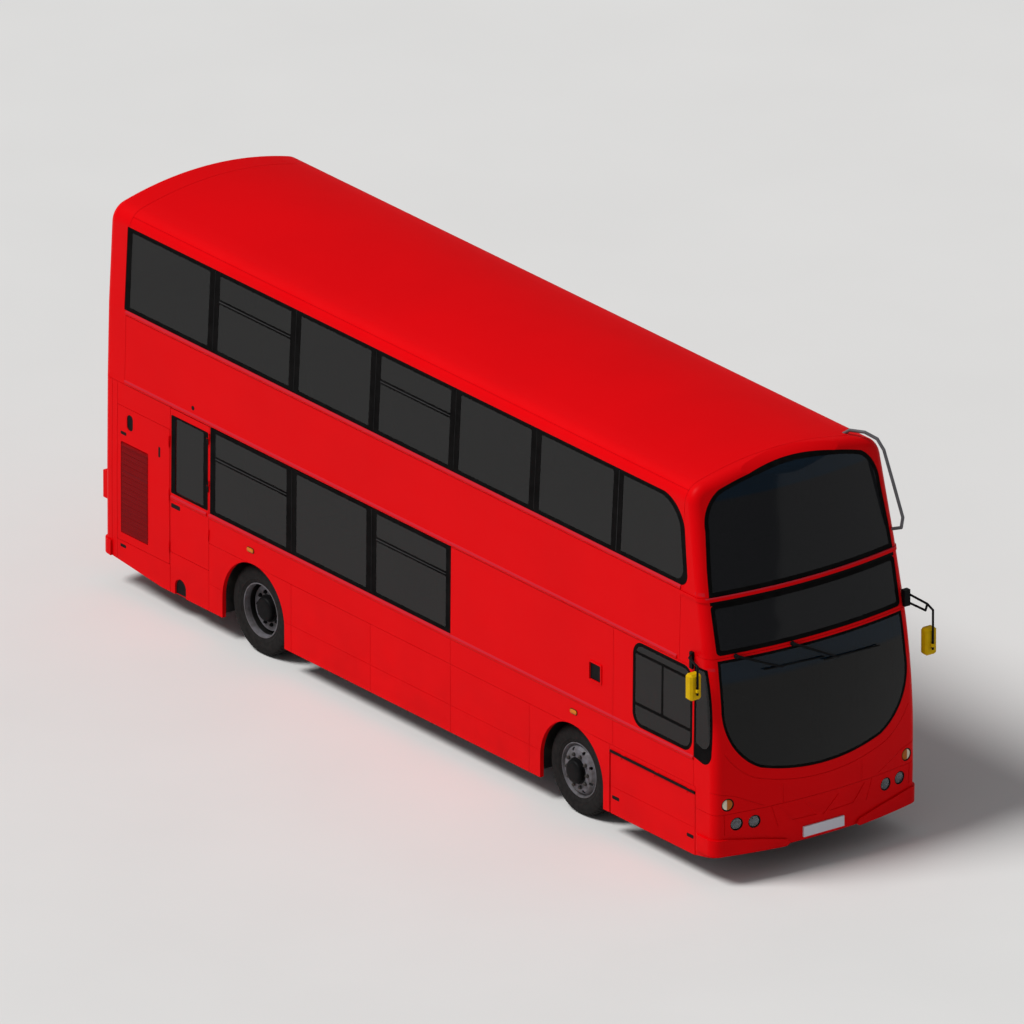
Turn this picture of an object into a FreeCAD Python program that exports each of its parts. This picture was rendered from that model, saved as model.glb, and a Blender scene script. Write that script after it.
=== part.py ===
import FreeCAD, Part
import functools
import math
import os
from FreeCAD import Vector as V

# Double decker bus, right-hand drive. Millimetres.
# X runs forward, Y to the nearside (left), Z up. The origin is on the ground, mid length, on the centre plane.

# Body outside
HALF_WIDTH = 1275.0
ROOF_Z = 4295.0
FRONT_X = 5275.0
REAR_X = -5230.0
SKIRT_Z = 250.0
WALL = 45.0
PLAN_RADIUS = 5900.0
FRONT_RAKE = 0.22
CROWN_RADIUS = 3900.0
SHOULDER_RADIUS = 220.0
CORNER_RADIUS = 110.0
BROW_RADIUS = 300.0
# Side of the cross-section: height, half width
SIDE_SECTION = [(150.0, HALF_WIDTH), (1300.0, HALF_WIDTH), (2280.0, 1265.0), (3080.0, 1245.0), (3980.0, 1197.0)]

# Joints between panels: the gap, the heights and the places along the sides
PANEL_GAP = 4.0
BUMPER_TOP = 770.0
SKIRT_TOP = 995.0
DECK_JOINT = 2275.0
UPPER_JOINT = 3030.0
CANTRAIL_Z = 4083.0
FRONT_JOINT_X = 4782.0
FRONT_SKIRT_X = 4815.0
REAR_JOINT_X = -4870.0
REAR_SKIRT_X = -5080.0
SKIRT_JOINTS = [-4086.0, -2010.0, -660.0, 700.0, 2030.0, 3380.0]
SKIRT_LINE_Z = 545.0
SKIRT_LINE_WIDTH = 4.0
SKIRT_LINE_DEPTH = 3.0

# Rub rails along the sides: bottom height, first x, last x
RAIL_HEIGHT = 50.0
RAIL_PROUD = 13.0
BELT_RAIL_Z = 1271.0
DECK_RAIL_Z = 2275.0
UPPER_RAIL_Z = 3035.0

# Decks
LOWER_FLOOR_Z = 345.0
FLOOR_THICK = 55.0
REAR_FLOOR_Z = 560.0
RAMP_X = (-1500.0, -2180.0)
UPPER_FLOOR_Z = 2400.0
UPPER_FLOOR_THICK = 70.0
BULKHEAD_X = -4095.0

# Running gear
WHEELBASE = 5400.0
FRONT_AXLE_X = 2745.0
REAR_AXLE_X = FRONT_AXLE_X - WHEELBASE
TYRE_RADIUS = 478.0
TYRE_WIDTH = 275.0
RIM_RADIUS = 286.0
WHEEL_Y = 1062.5
TWIN_SPACING = 317.5
KINGPIN_Y = 900.0
PORTAL_Z = 355.0
ARCH_RADIUS = 530.0
ARCH_CENTRE_Z = 475.0
GAP = 5.0

# Windows: glass lies this far inside the skin, in a black frame this wide
GLASS_INSET = 4.0
GLASS_THICK = 6.0
FRAME_WIDTH = 46.0
FRAME_SIDE = 84.0
FRAME_DEPTH = 20.0
FRAME_SEAM = 6.0
PANE_RADIUS = 14.0
POST_HALF = 28.0
PILLARS = [-3397.0, -2012.0, -652.0, 698.0, 2053.0, 3433.0]
LOWER_SILL, LOWER_HEAD = 1325.0, 2270.0
UPPER_SILL, UPPER_HEAD = 3085.0, 3983.0
HOPPER_BAR_LOWER = 1950.0
HOPPER_BAR_UPPER = 3660.0
BAR_HEIGHT = 36.0
SCREEN_BORDER = 46.0
LOWER_SCREEN_BORDER = 30.0
QUARTER_BORDER = 28.0

# Front moulding
DOME_JOINT_X = 4530.0
DECK_RAIL_END = 4490.0
DESTINATION_JOINT = 2415.0
REAR_BUMPER_TOP = 500.0
GROOVE_WIDTH = 6.0
GROOVE_DEPTH = 6.0

# Doors and lids
LEAF_GAP = 12.0
FLAP_SLOT = 25.0
BARREL_RADIUS = 6.0
BARREL_LENGTH = 60.0
HINGE_SINK = 19.0
PIVOT_RADIUS = 10.0
PIVOT_INSET = 60.0
PIVOT_Y = 1247.5

# Inside
WHEEL_BOX_Y = 560.0
WHEEL_BOX_TOP = 1010.0
BOX_SKIN = 25.0
FRONT_BOX_HALF, REAR_BOX_HALF = 610.0, 540.0
SEAT_Y = 740.0
SEAT_PITCH = 740.0
LOWER_ROWS_X = -1250.0
UPPER_ROWS_X = -4500.0
CAB_FLOOR_Z = 525.0
DRIVER_Y = -720.0
STEERING_CENTRE = V(4420, DRIVER_Y, 1230)
STEERING_AXIS = V(-0.5, 0, math.sqrt(0.75))

# Chassis, axles and wheels
RAIL_Y = 430.0
RAIL_THICK = 70.0
RAIL_DEPTH = 55.0
TOW_EYE_X = 5030.0
TOW_EYE_RADIUS = 20.05
BEAM_DEPTH = 70.0
EYE_Z = 425.0
EYE_HEIGHT = 105.0
KINGPIN_RADIUS = 22.0
STUB_RADIUS = 35.0
SPINDLE_RADIUS = 45.0
HAND_HOLES = 8
HAND_HOLE_RADIUS = 20.0
HAND_HOLE_RING = 222.0


# ---------- small shape helpers ----------

def box(x0, x1, y0, y1, z0, z1):
    return Part.makeBox(x1 - x0, y1 - y0, z1 - z0, V(x0, y0, z0))


def cylinder(radius, length, base, direction):
    return Part.makeCylinder(radius, length, base, direction)


def wire(points, arcs=()):
    """Closed wire through the points; a point whose index is in arcs is the middle of an arc."""
    edges = []
    count = len(points)
    i = 0
    while i < count:
        if (i + 1) % count in arcs:
            edges.append(Part.Arc(points[i], points[(i + 1) % count], points[(i + 2) % count]).toShape())
            i += 2
        else:
            edges.append(Part.LineSegment(points[i], points[(i + 1) % count]).toShape())
            i += 1
    return Part.Wire(edges)


def prism(points, direction, arcs=()):
    return Part.Face(wire(points, arcs)).extrude(direction)


def rounded_points(a0, a1, b0, b1, radius):
    """Rounded rectangle as (a, b) pairs with the arc middles marked."""
    k = radius * (1 - math.sqrt(0.5))
    pairs = [(a0 + radius, b0), (a1 - radius, b0), (a1 - k, b0 + k), (a1, b0 + radius),
             (a1, b1 - radius), (a1 - k, b1 - k), (a1 - radius, b1), (a0 + radius, b1),
             (a0 + k, b1 - k), (a0, b1 - radius), (a0, b0 + radius), (a0 + k, b0 + k)]
    return pairs, (2, 5, 8, 11)


def side_prism(x0, x1, z0, z1, radius, y0, y1):
    """Rounded rectangle in the side view, carried from y0 to y1."""
    pairs, arcs = rounded_points(x0, x1, z0, z1, radius)
    return prism([V(x, y0, z) for x, z in pairs], V(0, y1 - y0, 0), arcs)


def end_prism(y0, y1, z0, z1, radius, x0, x1):
    """Rounded rectangle in the end view, carried from x0 to x1."""
    pairs, arcs = rounded_points(y0, y1, z0, z1, radius)
    return prism([V(x0, y, z) for y, z in pairs], V(x1 - x0, 0, 0), arcs)


def both_sides(shape):
    """The shape and its reflection in the centre plane."""
    return [shape, shape.mirror(V(0, 0, 0), V(0, 1, 0))]


def tube(points, radius):
    """Round bar through the points, with ball joints at the bends."""
    bar = None
    for a, b in zip(points[:-1], points[1:]):
        run = cylinder(radius, (b - a).Length, a, b - a)
        bar = run if bar is None else bar.fuse(run)
        bar = bar.fuse(Part.makeSphere(radius, b)) if b is not points[-1] else bar
    return bar.removeSplitter()


def export(name, shapes):
    """Write one node; solids that share it stay separate."""
    solids = [s for shape in shapes for s in shape.Solids]
    shape = solids[0] if len(solids) == 1 else Part.makeCompound(solids)
    bad = [s for s in solids if not s.isValid()]
    print(f"{name:26s} solids {len(solids):3d} faces {len(shape.Faces):4d} litres {shape.Volume / 1e6:8.1f}"
          + ("  INVALID" if bad else ""))
    shape.exportStep(f"parts/{name}.step")


# ---------- the body's outside form and its offsets ----------

def cross_section(inset):
    """Closed section in the YZ plane: straight sides, shoulder arcs and a crowned roof."""
    (z1, y1), (z2, y2) = SIDE_SECTION[-2:]
    up = V(0, y2 - y1, z2 - z1)
    up.normalize()
    inward = V(0, -up.z, up.y)
    crown_z = ROOF_Z - CROWN_RADIUS
    start = V(0, y1, z1) + inward * SHOULDER_RADIUS - V(0, 0, crown_z)
    half = start.dot(up)
    run = -half + math.sqrt(half**2 - start.dot(start) + (CROWN_RADIUS - SHOULDER_RADIUS)**2)
    centre = start + up * run + V(0, 0, crown_z)
    radius = SHOULDER_RADIUS - inset
    outward = centre - V(0, 0, crown_z)
    outward.normalize()
    middle = outward - inward
    middle.normalize()
    low, mid, high = centre - inward * radius, centre + middle * radius, centre + outward * radius
    right = [V(0, y - inset, z) for z, y in SIDE_SECTION[:-1]] + [low, mid, high]
    left = [V(0, -p.y, p.z) for p in reversed(right)]
    count = len(right)
    points = right + [V(0, 0, ROOF_Z - inset)] + left
    return Part.Face(wire(points, (count - 2, count, count + 2)))


def front_form(inset):
    """Solid of revolution whose outside is the front: upright below, raked above, curved in plan."""
    axis_x = FRONT_X - PLAN_RADIUS
    rake = math.atan(FRONT_RAKE)
    bend_z = 1100.0
    bend_radius = 1400.0 / math.sin(rake) - inset
    cx = FRONT_X - inset - bend_radius
    middle = V(cx + bend_radius * math.cos(rake / 2), 0, bend_z + bend_radius * math.sin(rake / 2))
    end = V(cx + bend_radius * math.cos(rake), 0, bend_z + bend_radius * math.sin(rake))
    top_z = ROOF_Z + 500.0
    points = [V(axis_x, 0, 50), V(FRONT_X - inset - 15, 0, 50), V(FRONT_X - inset, 0, 700),
              V(FRONT_X - inset, 0, bend_z), middle, end,
              V(end.x - FRONT_RAKE * (top_z - end.z), 0, top_z), V(axis_x, 0, top_z)]
    return Part.Face(wire(points, (4,))).revolve(V(axis_x, 0, 0), V(0, 0, 1), 360)


def brow_form(inset):
    """Side silhouette with the large radius between the windscreen and the roof."""
    slack = 2.0 - inset
    base_x = FRONT_X + slack + 40.0
    rake = math.atan(FRONT_RAKE)
    top = ROOF_Z + slack
    front_at_top = front_line_x(top) + slack
    tangent = BROW_RADIUS * math.tan((math.pi / 2 - rake) / 2)
    low = V(front_at_top + tangent * math.sin(rake), 0, top - tangent * math.cos(rake))
    high = V(front_at_top - tangent, 0, top)
    centre = high - V(0, 0, BROW_RADIUS)
    turn = (math.pi / 2 + rake) / 2
    middle = centre + V(BROW_RADIUS * math.cos(turn), 0, BROW_RADIUS * math.sin(turn))
    outer_low = V(front_line_x(2600.0) + slack, 0, 2600.0)
    points = [V(-6000, 0, 0), V(base_x, 0, 0), V(base_x, 0, 2600.0), outer_low, low, middle, high,
              V(-6000, 0, top)]
    form = prism(points, V(0, 3000, 0), (5,))
    form.translate(V(0, -1500, 0))
    return form


def front_line_x(z):
    """Where the raked part of the front crosses height z on the centre plane."""
    rake = math.atan(FRONT_RAKE)
    bend_radius = 1400.0 / math.sin(rake)
    end_x = FRONT_X - bend_radius * (1 - math.cos(rake))
    return end_x - FRONT_RAKE * (z - 2500.0)


def is_front_edge(edge, solid):
    """True for an edge where the front meets the sides, the shoulders or the roof."""
    bounds = edge.BoundBox
    if bounds.XMin < 4300 or bounds.ZMin < 149:
        return False
    middle = edge.valueAt((edge.FirstParameter + edge.LastParameter) / 2)
    normals = []
    for face in solid.Faces:
        if any(other.isSame(edge) for other in face.Edges):
            u, v = face.Surface.parameter(middle)
            normals.append(face.normalAt(u, v))
    return math.degrees(normals[0].getAngle(normals[1])) > 20 and middle.z > 151


@functools.lru_cache(maxsize=None)
def body_form(inset):
    """Closed solid of the body's outside, set in by the given distance all round."""
    length = 5600.0 - REAR_X
    hull = cross_section(inset).extrude(V(length, 0, 0))
    hull.translate(V(REAR_X + inset, 0, 0))
    axis_x = FRONT_X - PLAN_RADIUS
    behind = box(axis_x - 5800, axis_x, -2000, 2000, 0, 6000)
    solid = hull.common(front_form(inset).fuse(behind)).removeSplitter()
    front_edges = [e for e in solid.Edges if is_front_edge(e, solid)]
    solid = solid.makeFillet(CORNER_RADIUS - inset, front_edges)
    rear_edges = [e for e in solid.Edges if e.BoundBox.XMax < REAR_X + inset + 1 and e.BoundBox.ZMax > 151]
    solid = solid.makeFillet(CORNER_RADIUS - 10 - inset, rear_edges)
    return solid.common(brow_form(inset))


OUTSIDE = body_form(0)
SHELL = OUTSIDE.cut(body_form(WALL)).common(box(-6000, 6000, -2000, 2000, SKIRT_Z, 5000))
GLASS = body_form(GLASS_INSET).cut(body_form(GLASS_INSET + GLASS_THICK))
FRAME = body_form(2.0).cut(body_form(FRAME_DEPTH))
POSTS = body_form(FRAME_DEPTH + 0.3).cut(body_form(WALL))
GROOVE_SKIN = OUTSIDE.cut(body_form(GROOVE_DEPTH)).common(box(4700, 5600, -2000, 2000, 0, 3000))


def region(shape, *limits):
    return shape.common(box(*limits))


def side_span(sign):
    """Range of y that covers one side wall."""
    return (700.0, 1600.0) if sign > 0 else (-1600.0, -700.0)


def slab(sign, x0, x1, z0, z1):
    """Piece of one side wall between four joint lines, less half the gap at each."""
    half = PANEL_GAP / 2
    return region(SHELL, x0 + half, x1 - half, *side_span(sign), z0 + half, z1 - half)


def half_width(z):
    """Half width of the straight part of the side at height z."""
    for (za, ya), (zb, yb) in zip(SIDE_SECTION[:-1], SIDE_SECTION[1:]):
        if z <= zb:
            return ya + (yb - ya) * (z - za) / (zb - za)
    return SIDE_SECTION[-1][1]


def front_x(y, z):
    """Where the raked front lies at a place off the centre plane."""
    axis_x = FRONT_X - PLAN_RADIUS
    return axis_x + math.sqrt((front_line_x(z) - axis_x)**2 - y**2)


def rub_rail(sign, x0, x1, z):
    """Half-round rail along one side, bottom at z, its back sunk a little into the panel."""
    low, high = half_width(z), half_width(z + RAIL_HEIGHT)
    points = [(low, z), ((low + high) / 2 + RAIL_PROUD, z + RAIL_HEIGHT / 2), (high, z + RAIL_HEIGHT),
              (high - 3, z + RAIL_HEIGHT), (low - 3, z)]
    return prism([V(x0, sign * y, pz) for y, pz in points], V(x1 - x0, 0, 0), (1,))


# ---------- side windows ----------

# Each bay: first x, last x, height of its hopper bar or None
LOWER_BAYS = [(-4053.0, PILLARS[0] - 24, None), (PILLARS[0], PILLARS[1], HOPPER_BAR_LOWER),
              (PILLARS[1], PILLARS[2], None), (PILLARS[2], PILLARS[3], HOPPER_BAR_LOWER),
              (PILLARS[3], PILLARS[4], None), (PILLARS[4], PILLARS[5], None)]
UPPER_BAYS = [(-4900.0, PILLARS[0], None), (PILLARS[0], PILLARS[1], HOPPER_BAR_UPPER),
              (PILLARS[1], PILLARS[2], None), (PILLARS[2], PILLARS[3], HOPPER_BAR_UPPER),
              (PILLARS[3], PILLARS[4], None), (PILLARS[4], PILLARS[5], None)]
# The cab window's panes: x0, x1, z0, z1
CAB_PANES = [(3790.0, 4235.0, 1592.0, 2115.0), (4265.0, 4730.0, 1592.0, 2115.0),
             (3790.0, 4730.0, 1360.0, 1560.0), (3790.0, 4730.0, 2145.0, 2230.0)]


def lower_bays(sign):
    """The nearside has a window in every bay; the offside leaves out the stairs and the emergency door."""
    return LOWER_BAYS if sign > 0 else LOWER_BAYS[1:4]


def bay_rings(sign, bays, sill, head):
    """One black ring for each bay, with the panes that fill it."""
    rings, panes = [], []
    seam = FRAME_SEAM / 2
    for x0, x1, bar in bays:
        ring = region(FRAME, x0 + seam, x1 - seam, *side_span(sign), sill + seam, head - seam)
        low, high = sill + FRAME_WIDTH, head - FRAME_WIDTH
        spans = [(low, high)] if bar is None else [(low, bar - BAR_HEIGHT / 2), (bar + BAR_HEIGHT / 2, high)]
        for z0, z1 in spans:
            hole = side_prism(x0 + FRAME_SIDE, x1 - FRAME_SIDE, z0, z1, PANE_RADIUS, *side_span(sign))
            ring = ring.cut(hole)
            panes.append(GLASS.common(hole))
        rings.append(ring)
    return rings, panes


def front_pane_outline(inset, sign):
    """Foremost upper side window: a raked, rounded front edge and a border that is wider at the ends."""
    y0, y1 = side_span(sign)
    end = 1.7 * inset
    x0 = PILLARS[-1] + end
    sill, head = UPPER_SILL + inset, UPPER_HEAD - inset
    points = [V(x0, y0, sill), V(4500 - end, y0, sill), V(4594 - end, y0, sill + 30),
              V(4630 - end, y0, sill + 125), V(4550 - end, y0, 3700), V(4420 - 1.2 * inset, y0, 3885 - inset),
              V(4190 - inset, y0, head), V(x0, y0, head)]
    return prism(points, V(0, y1 - y0, 0), (2, 5))


def quarter_glass_outline(inset, sign):
    """Small fixed window beside the windscreen, with a border that is deep at the rounded foot."""
    y0, y1 = side_span(sign)
    foot = max(inset, 6 * inset - 8)
    points = [V(4785 + inset, y0, 1312 + foot), V(4930, y0, 1282 + foot), V(5036 - inset, y0, 1318 + foot),
              V(5075 - inset, y0, 1420 + foot), V(5070 - inset, y0, 1800), V(4985 - inset, y0, 2305 - inset),
              V(4785 + inset, y0, 2305 - inset)]
    return prism(points, V(0, y1 - y0, 0), (2, 4))


def cab_window(inset):
    return side_prism(3760 + inset, 4760 - inset, 1335 + inset, 2255 - inset, 150 - inset, *side_span(-1))


def cab_panes():
    """The panes' outlines, kept inside the border, which follows the window's round corners."""
    opening = cab_window(40)
    panes = [side_prism(x0, x1, z0, z1, PANE_RADIUS, *side_span(-1)) for x0, x1, z0, z1 in CAB_PANES]
    return [pane.common(opening) for pane in panes]


def window_posts():
    """Posts behind the seams between the rings; they carry the panel above on the panel below."""
    posts = []
    for sign in (-1, 1):
        rows = [(PILLARS, UPPER_SILL, UPPER_HEAD)]
        rows.append((PILLARS[1:-1] if sign > 0 else PILLARS[1:3], LOWER_SILL, DECK_JOINT + PANEL_GAP / 2))
        for places, z0, z1 in rows:
            posts += [region(POSTS, x - POST_HALF, x + POST_HALF, *side_span(sign), z0, z1) for x in places]
    return posts


# ---------- front and rear windows ----------

def windscreen_upper_outline(inset):
    """Straight foot, sides that lean in and an arched top."""
    half = [(1160 - inset, 3032 + inset), (1145 - inset, 3300), (1105 - inset, 3700),
            (1052 - 0.9 * inset, 3930 - 0.4 * inset), (900 - 0.6 * inset, 4085 - 0.8 * inset)]
    return upright_outline(half, 4235.0 - inset)


def windscreen_lower_outline(inset):
    """Straight head, sides that run into a deep bow below."""
    half = [(1160 - inset, 2392 - inset), (1166 - inset, 2200), (1170 - inset, 1930),
            (1075 - 0.9 * inset, 1500 + 0.4 * inset), (760 - 0.6 * inset, 1210 + 0.8 * inset)]
    return upright_outline(half, 1100.0 + inset)


def upright_outline(half, centre_z):
    """Outline in the front view from the points of its nearside half, carried forwards.

    The second point lies on the straight side. An arc runs from the third through the fourth to the fifth,
    and one from the fifth through the point on the centre plane to its reflection.
    """
    near_side = [V(4000, y, z) for y, z in half]
    off_side = [V(4000, -y, z) for y, z in reversed(half)]
    points = near_side + [V(4000, 0, centre_z)] + off_side
    return prism(points, V(2000, 0, 0), (3, 5, 7))


def destination_outline(inset):
    return end_prism(-1160 + inset, 1160 - inset, 2440 + inset, 2957 - inset, 50 - 0.5 * inset, 4600, 5600)


def rear_window_outline(inset):
    return end_prism(-930 + inset, 930 - inset, 3085 + inset, 3930 - inset, 120 - inset, -5600, -5000)


# ---------- openings for doors and wheels ----------

# Openings in the walls: x0, x1, z0, z1, corner radius; the engine cover's are y0, y1, z0, z1, corner radius
EMERGENCY_DOOR = (-4080.0, -3415.0, 690.0, 2273.0, 12.0)
ENGINE_SIDE_DOOR = (-4995.0, -4090.0, 545.0, 2030.0, 12.0)
SKIRT_FLAP = (3394.0, 4813.0, 0.0, 932.0, 1.0)
ENGINE_COVER = (-930.0, 930.0, 560.0, 2030.0, 30.0)
ENTRANCE = (3480.0, 4765.0, 352.0, 2240.0, 12.0)


def grown(limits, by):
    x0, x1, z0, z1, radius = limits
    return (x0 - by, x1 + by, z0 - by, z1 + by, radius)


def arch(axle_x, sign):
    """Wheel opening: straight sides and a round top."""
    y0, y1 = side_span(sign)
    left, right = axle_x - ARCH_RADIUS, axle_x + ARCH_RADIUS
    points = [V(left, y0, 0), V(right, y0, 0), V(right, y0, ARCH_CENTRE_Z),
              V(axle_x, y0, ARCH_CENTRE_Z + ARCH_RADIUS), V(left, y0, ARCH_CENTRE_Z)]
    return prism(points, V(0, y1 - y0, 0), (3,))


def skirt_rise():
    """What is taken off below the skirt where it rises towards the ends."""
    rear = [V(-4230, -1600, 200), V(-4230, -1600, 250), V(-5050, -1600, 330), V(-5400, -1600, 360),
            V(-5400, -1600, 200)]
    front = [V(4820, -1600, 200), V(5400, -1600, 200), V(5400, -1600, 320), V(5120, -1600, 310),
             V(4820, -1600, 258)]
    return prism(rear, V(0, 3200, 0)).fuse(prism(front, V(0, 3200, 0)))


def hinge(base, axis, along, toward, outward, reach):
    """One half of a hinge: a barrel on the axis and the plate that joins it to its panel."""
    start = base + axis * along
    barrel = cylinder(BARREL_RADIUS, BARREL_LENGTH, start, axis)
    sink = outward * -HINGE_SINK
    top = outward * -1.0
    foot = toward * reach
    plate = prism([start + top, start + top + foot, start + sink + foot, start + sink], axis * BARREL_LENGTH)
    return barrel.fuse(plate)


# Hinge lines: a point on the axis, its direction, the way to the moving panel, outward, plate reach on the
# moving panel and on the wall, places of the hinges along the axis
HINGES = {
    "emergency_door": (V(-3417.5, -1281, 0), V(0, 0, 1), V(-1, 0, 0), V(0, -1, 0), 34, 16, (1020, 1560, 2080)),
    "engine_side_door": (V(-4092.5, -1281, 0), V(0, 0, 1), V(-1, 0, 0), V(0, -1, 0), 34, 11, (680, 1250, 1840)),
    "skirt_flap": (V(0, -1281, 919.5), V(1, 0, 0), V(0, 0, -1), V(0, -1, 0), 34, 34, (3520, 4080, 4620)),
    "engine_cover": (V(-5236, 0, 2024), V(0, 1, 0), V(0, 0, -1), V(-1, 0, 0), 34, 34, (-700, -50, 620)),
}


def moving_halves(name):
    base, axis, toward, outward, reach, _, places = HINGES[name]
    return [hinge(base, axis, along, toward, outward, reach) for along in places]


def fixed_halves(name):
    base, axis, toward, outward, _, reach, places = HINGES[name]
    return [hinge(base, axis, along + BARREL_LENGTH + 1, toward * -1.0, outward, reach) for along in places]


def fused(shape, pieces):
    for piece in pieces:
        shape = shape.fuse(piece)
    return shape.removeSplitter()


# ---------- body panels ----------

def lower_side_panels():
    """Both lower walls, split where the real panels meet, so that doors, arches and windows stay open."""
    return offside_lower_wall() + nearside_lower_wall()


def cut_by(shape, tools):
    for tool in tools:
        shape = shape.cut(tool)
    return shape


def skirt_panels(sign, joints):
    """Panels below the skirt line between vertical joints, cut by the arches and the rising ends."""
    panels = []
    for x0, x1 in zip(joints[:-1], joints[1:]):
        panel = slab(sign, x0, x1, SKIRT_Z - PANEL_GAP / 2, SKIRT_TOP)
        tools = [arch(FRONT_AXLE_X, sign), arch(REAR_AXLE_X, sign), skirt_rise(), skirt_line(sign)]
        panels.append(cut_by(panel, tools))
    return panels


def skirt_line(sign):
    """Shallow pressed line along one skirt."""
    y0, y1 = sorted((sign * (HALF_WIDTH - SKIRT_LINE_DEPTH), sign * (HALF_WIDTH + 50)))
    return box(REAR_SKIRT_X, FRONT_SKIRT_X, y0, y1, SKIRT_LINE_Z, SKIRT_LINE_Z + SKIRT_LINE_WIDTH)


def offside_lower_wall():
    half = PANEL_GAP / 2
    skirt_line = SKIRT_Z - half
    door_x0, door_x1, door_z0, _, _ = EMERGENCY_DOOR
    lid_x0, lid_x1, lid_z0, lid_z1, _ = ENGINE_SIDE_DOOR
    corner = slab(-1, REAR_SKIRT_X, lid_x0 + half, skirt_line, DECK_JOINT).cut(skirt_rise())
    below_lid = slab(-1, lid_x0 + half, lid_x1 + half, skirt_line, lid_z0 + half).cut(skirt_rise())
    below_lid = below_lid.cut(side_pocket(-4935, -4845, 484, 506, 8, 8))
    above_lid = slab(-1, lid_x0 + half, lid_x1 + half, lid_z1 - half, DECK_JOINT)
    post = slab(-1, lid_x1, door_x0 + half, skirt_line, DECK_JOINT).cut(skirt_rise())
    post = fused(post, fixed_halves("engine_side_door"))
    below_door = slab(-1, door_x0 + half, door_x1 - half, skirt_line, door_z0 + half).cut(skirt_rise())
    below_door = below_door.cut(flap_pocket())
    panels = [corner, below_lid, above_lid, post, below_door]
    panels += skirt_panels(-1, [door_x1 - half] + SKIRT_JOINTS[1:])
    waist = slab(-1, door_x1 - half, PILLARS[3], SKIRT_TOP, LOWER_SILL + half).cut(arch(REAR_AXLE_X, -1))
    waist = waist.fuse(slab(-1, door_x1 - half, PILLARS[0], LOWER_SILL - half, DECK_JOINT))
    waist = waist.fuse(rub_rail(-1, door_x1 + 4, PILLARS[3] - half, BELT_RAIL_Z))
    stairs = slab(-1, PILLARS[3], PILLARS[5], SKIRT_TOP, DECK_JOINT).cut(arch(FRONT_AXLE_X, -1))
    stairs = stairs.fuse(rub_rail(-1, PILLARS[3] + half, PILLARS[5] - half, BELT_RAIL_Z))
    stairs = stairs.fuse(side_prism(3028, 3247, 1583, 1802, 16, -1281, -1268))
    stairs = stairs.cut(side_pocket(3045, 3230, 1600, 1785, 8, 14))
    cab = slab(-1, PILLARS[5], FRONT_JOINT_X, SKIRT_TOP, DECK_JOINT).cut(cab_window(0))
    cab = cab.fuse(rub_rail(-1, PILLARS[5] + half, FRONT_JOINT_X - half, BELT_RAIL_Z))
    flap_header = slab(-1, SKIRT_JOINTS[-1], FRONT_SKIRT_X, SKIRT_FLAP[3] - half, SKIRT_TOP)
    return panels + [fused(waist, fixed_halves("emergency_door")), stairs.removeSplitter(), cab.removeSplitter(),
                     fused(flap_header, fixed_halves("skirt_flap"))]


def nearside_lower_wall():
    half = PANEL_GAP / 2
    door_x0, door_x1, door_z0, door_z1, _ = ENTRANCE
    panels = skirt_panels(1, [REAR_SKIRT_X, ENGINE_SIDE_DOOR[1]] + SKIRT_JOINTS[1:-1] + [door_x0 + half])
    panels.append(slab(1, REAR_SKIRT_X, LOWER_BAYS[0][0], SKIRT_TOP, DECK_JOINT))
    arches = [arch(FRONT_AXLE_X, 1), arch(REAR_AXLE_X, 1)]
    waist = cut_by(slab(1, LOWER_BAYS[0][0], door_x0 + half, SKIRT_TOP, LOWER_SILL + half), arches)
    waist = waist.fuse(slab(1, PILLARS[5], door_x0 + half, LOWER_SILL - half, DECK_JOINT))
    waist = waist.fuse(slab(1, LOWER_BAYS[0][1], PILLARS[0], LOWER_SILL - half, DECK_JOINT))
    waist = waist.fuse(rub_rail(1, LOWER_BAYS[0][0] + half, door_x0, BELT_RAIL_Z)).removeSplitter()
    header = slab(1, door_x0 + half, FRONT_JOINT_X, door_z1 - half, DECK_JOINT)
    sill = slab(1, door_x0 + half, FRONT_SKIRT_X, SKIRT_Z - half, door_z0 + half)
    pivots = entrance_pivots(PIVOT_RADIUS + 0.05)
    front_post = slab(1, door_x1 - half, FRONT_JOINT_X, door_z0 - half, door_z1 + half)
    return panels + [waist, cut_by(header, pivots), cut_by(sill, pivots), front_post]


def side_pocket(x0, x1, z0, z1, radius, depth):
    """Recess in the offside wall."""
    return side_prism(x0, x1, z0, z1, radius, -1600, -HALF_WIDTH + depth)


def flap_pocket():
    """Recess with a rounded top for the step in the skirt below the emergency door."""
    points = [V(-4000, -1600, 200), V(-3812, -1600, 200), V(-3812, -1600, 360), V(-3906, -1600, 435),
              V(-4000, -1600, 360)]
    return prism(points, V(0, 1600 - HALF_WIDTH + 20, 0), (3,))


def upper_side_panels():
    """Both walls above the deck joint: the tall panel, the strip under the windows and the one above them."""
    half = PANEL_GAP / 2
    walls = []
    for sign in (-1, 1):
        deck = slab(sign, REAR_JOINT_X, DOME_JOINT_X, DECK_JOINT, UPPER_JOINT)
        deck = deck.fuse(rub_rail(sign, REAR_JOINT_X + half, DECK_RAIL_END, DECK_JOINT + half))
        if sign < 0:
            deck = deck.cut(cylinder(25, 340, V(-3700, -1600, 2385), V(0, 1, 0)))
        under = slab(sign, REAR_JOINT_X, DOME_JOINT_X, UPPER_JOINT, UPPER_SILL + half)
        under = under.fuse(rub_rail(sign, REAR_JOINT_X + half, DOME_JOINT_X - half, UPPER_JOINT + half))
        above = slab(sign, REAR_JOINT_X, DOME_JOINT_X, UPPER_HEAD - half, CANTRAIL_Z)
        above = above.fuse(slab(sign, 4150.0, DOME_JOINT_X, 3660.0, UPPER_HEAD + half))
        cleared = [piece.cut(front_pane_outline(0, sign)).removeSplitter() for piece in (under, above)]
        walls += [deck.removeSplitter()] + cleared
    return walls


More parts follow.
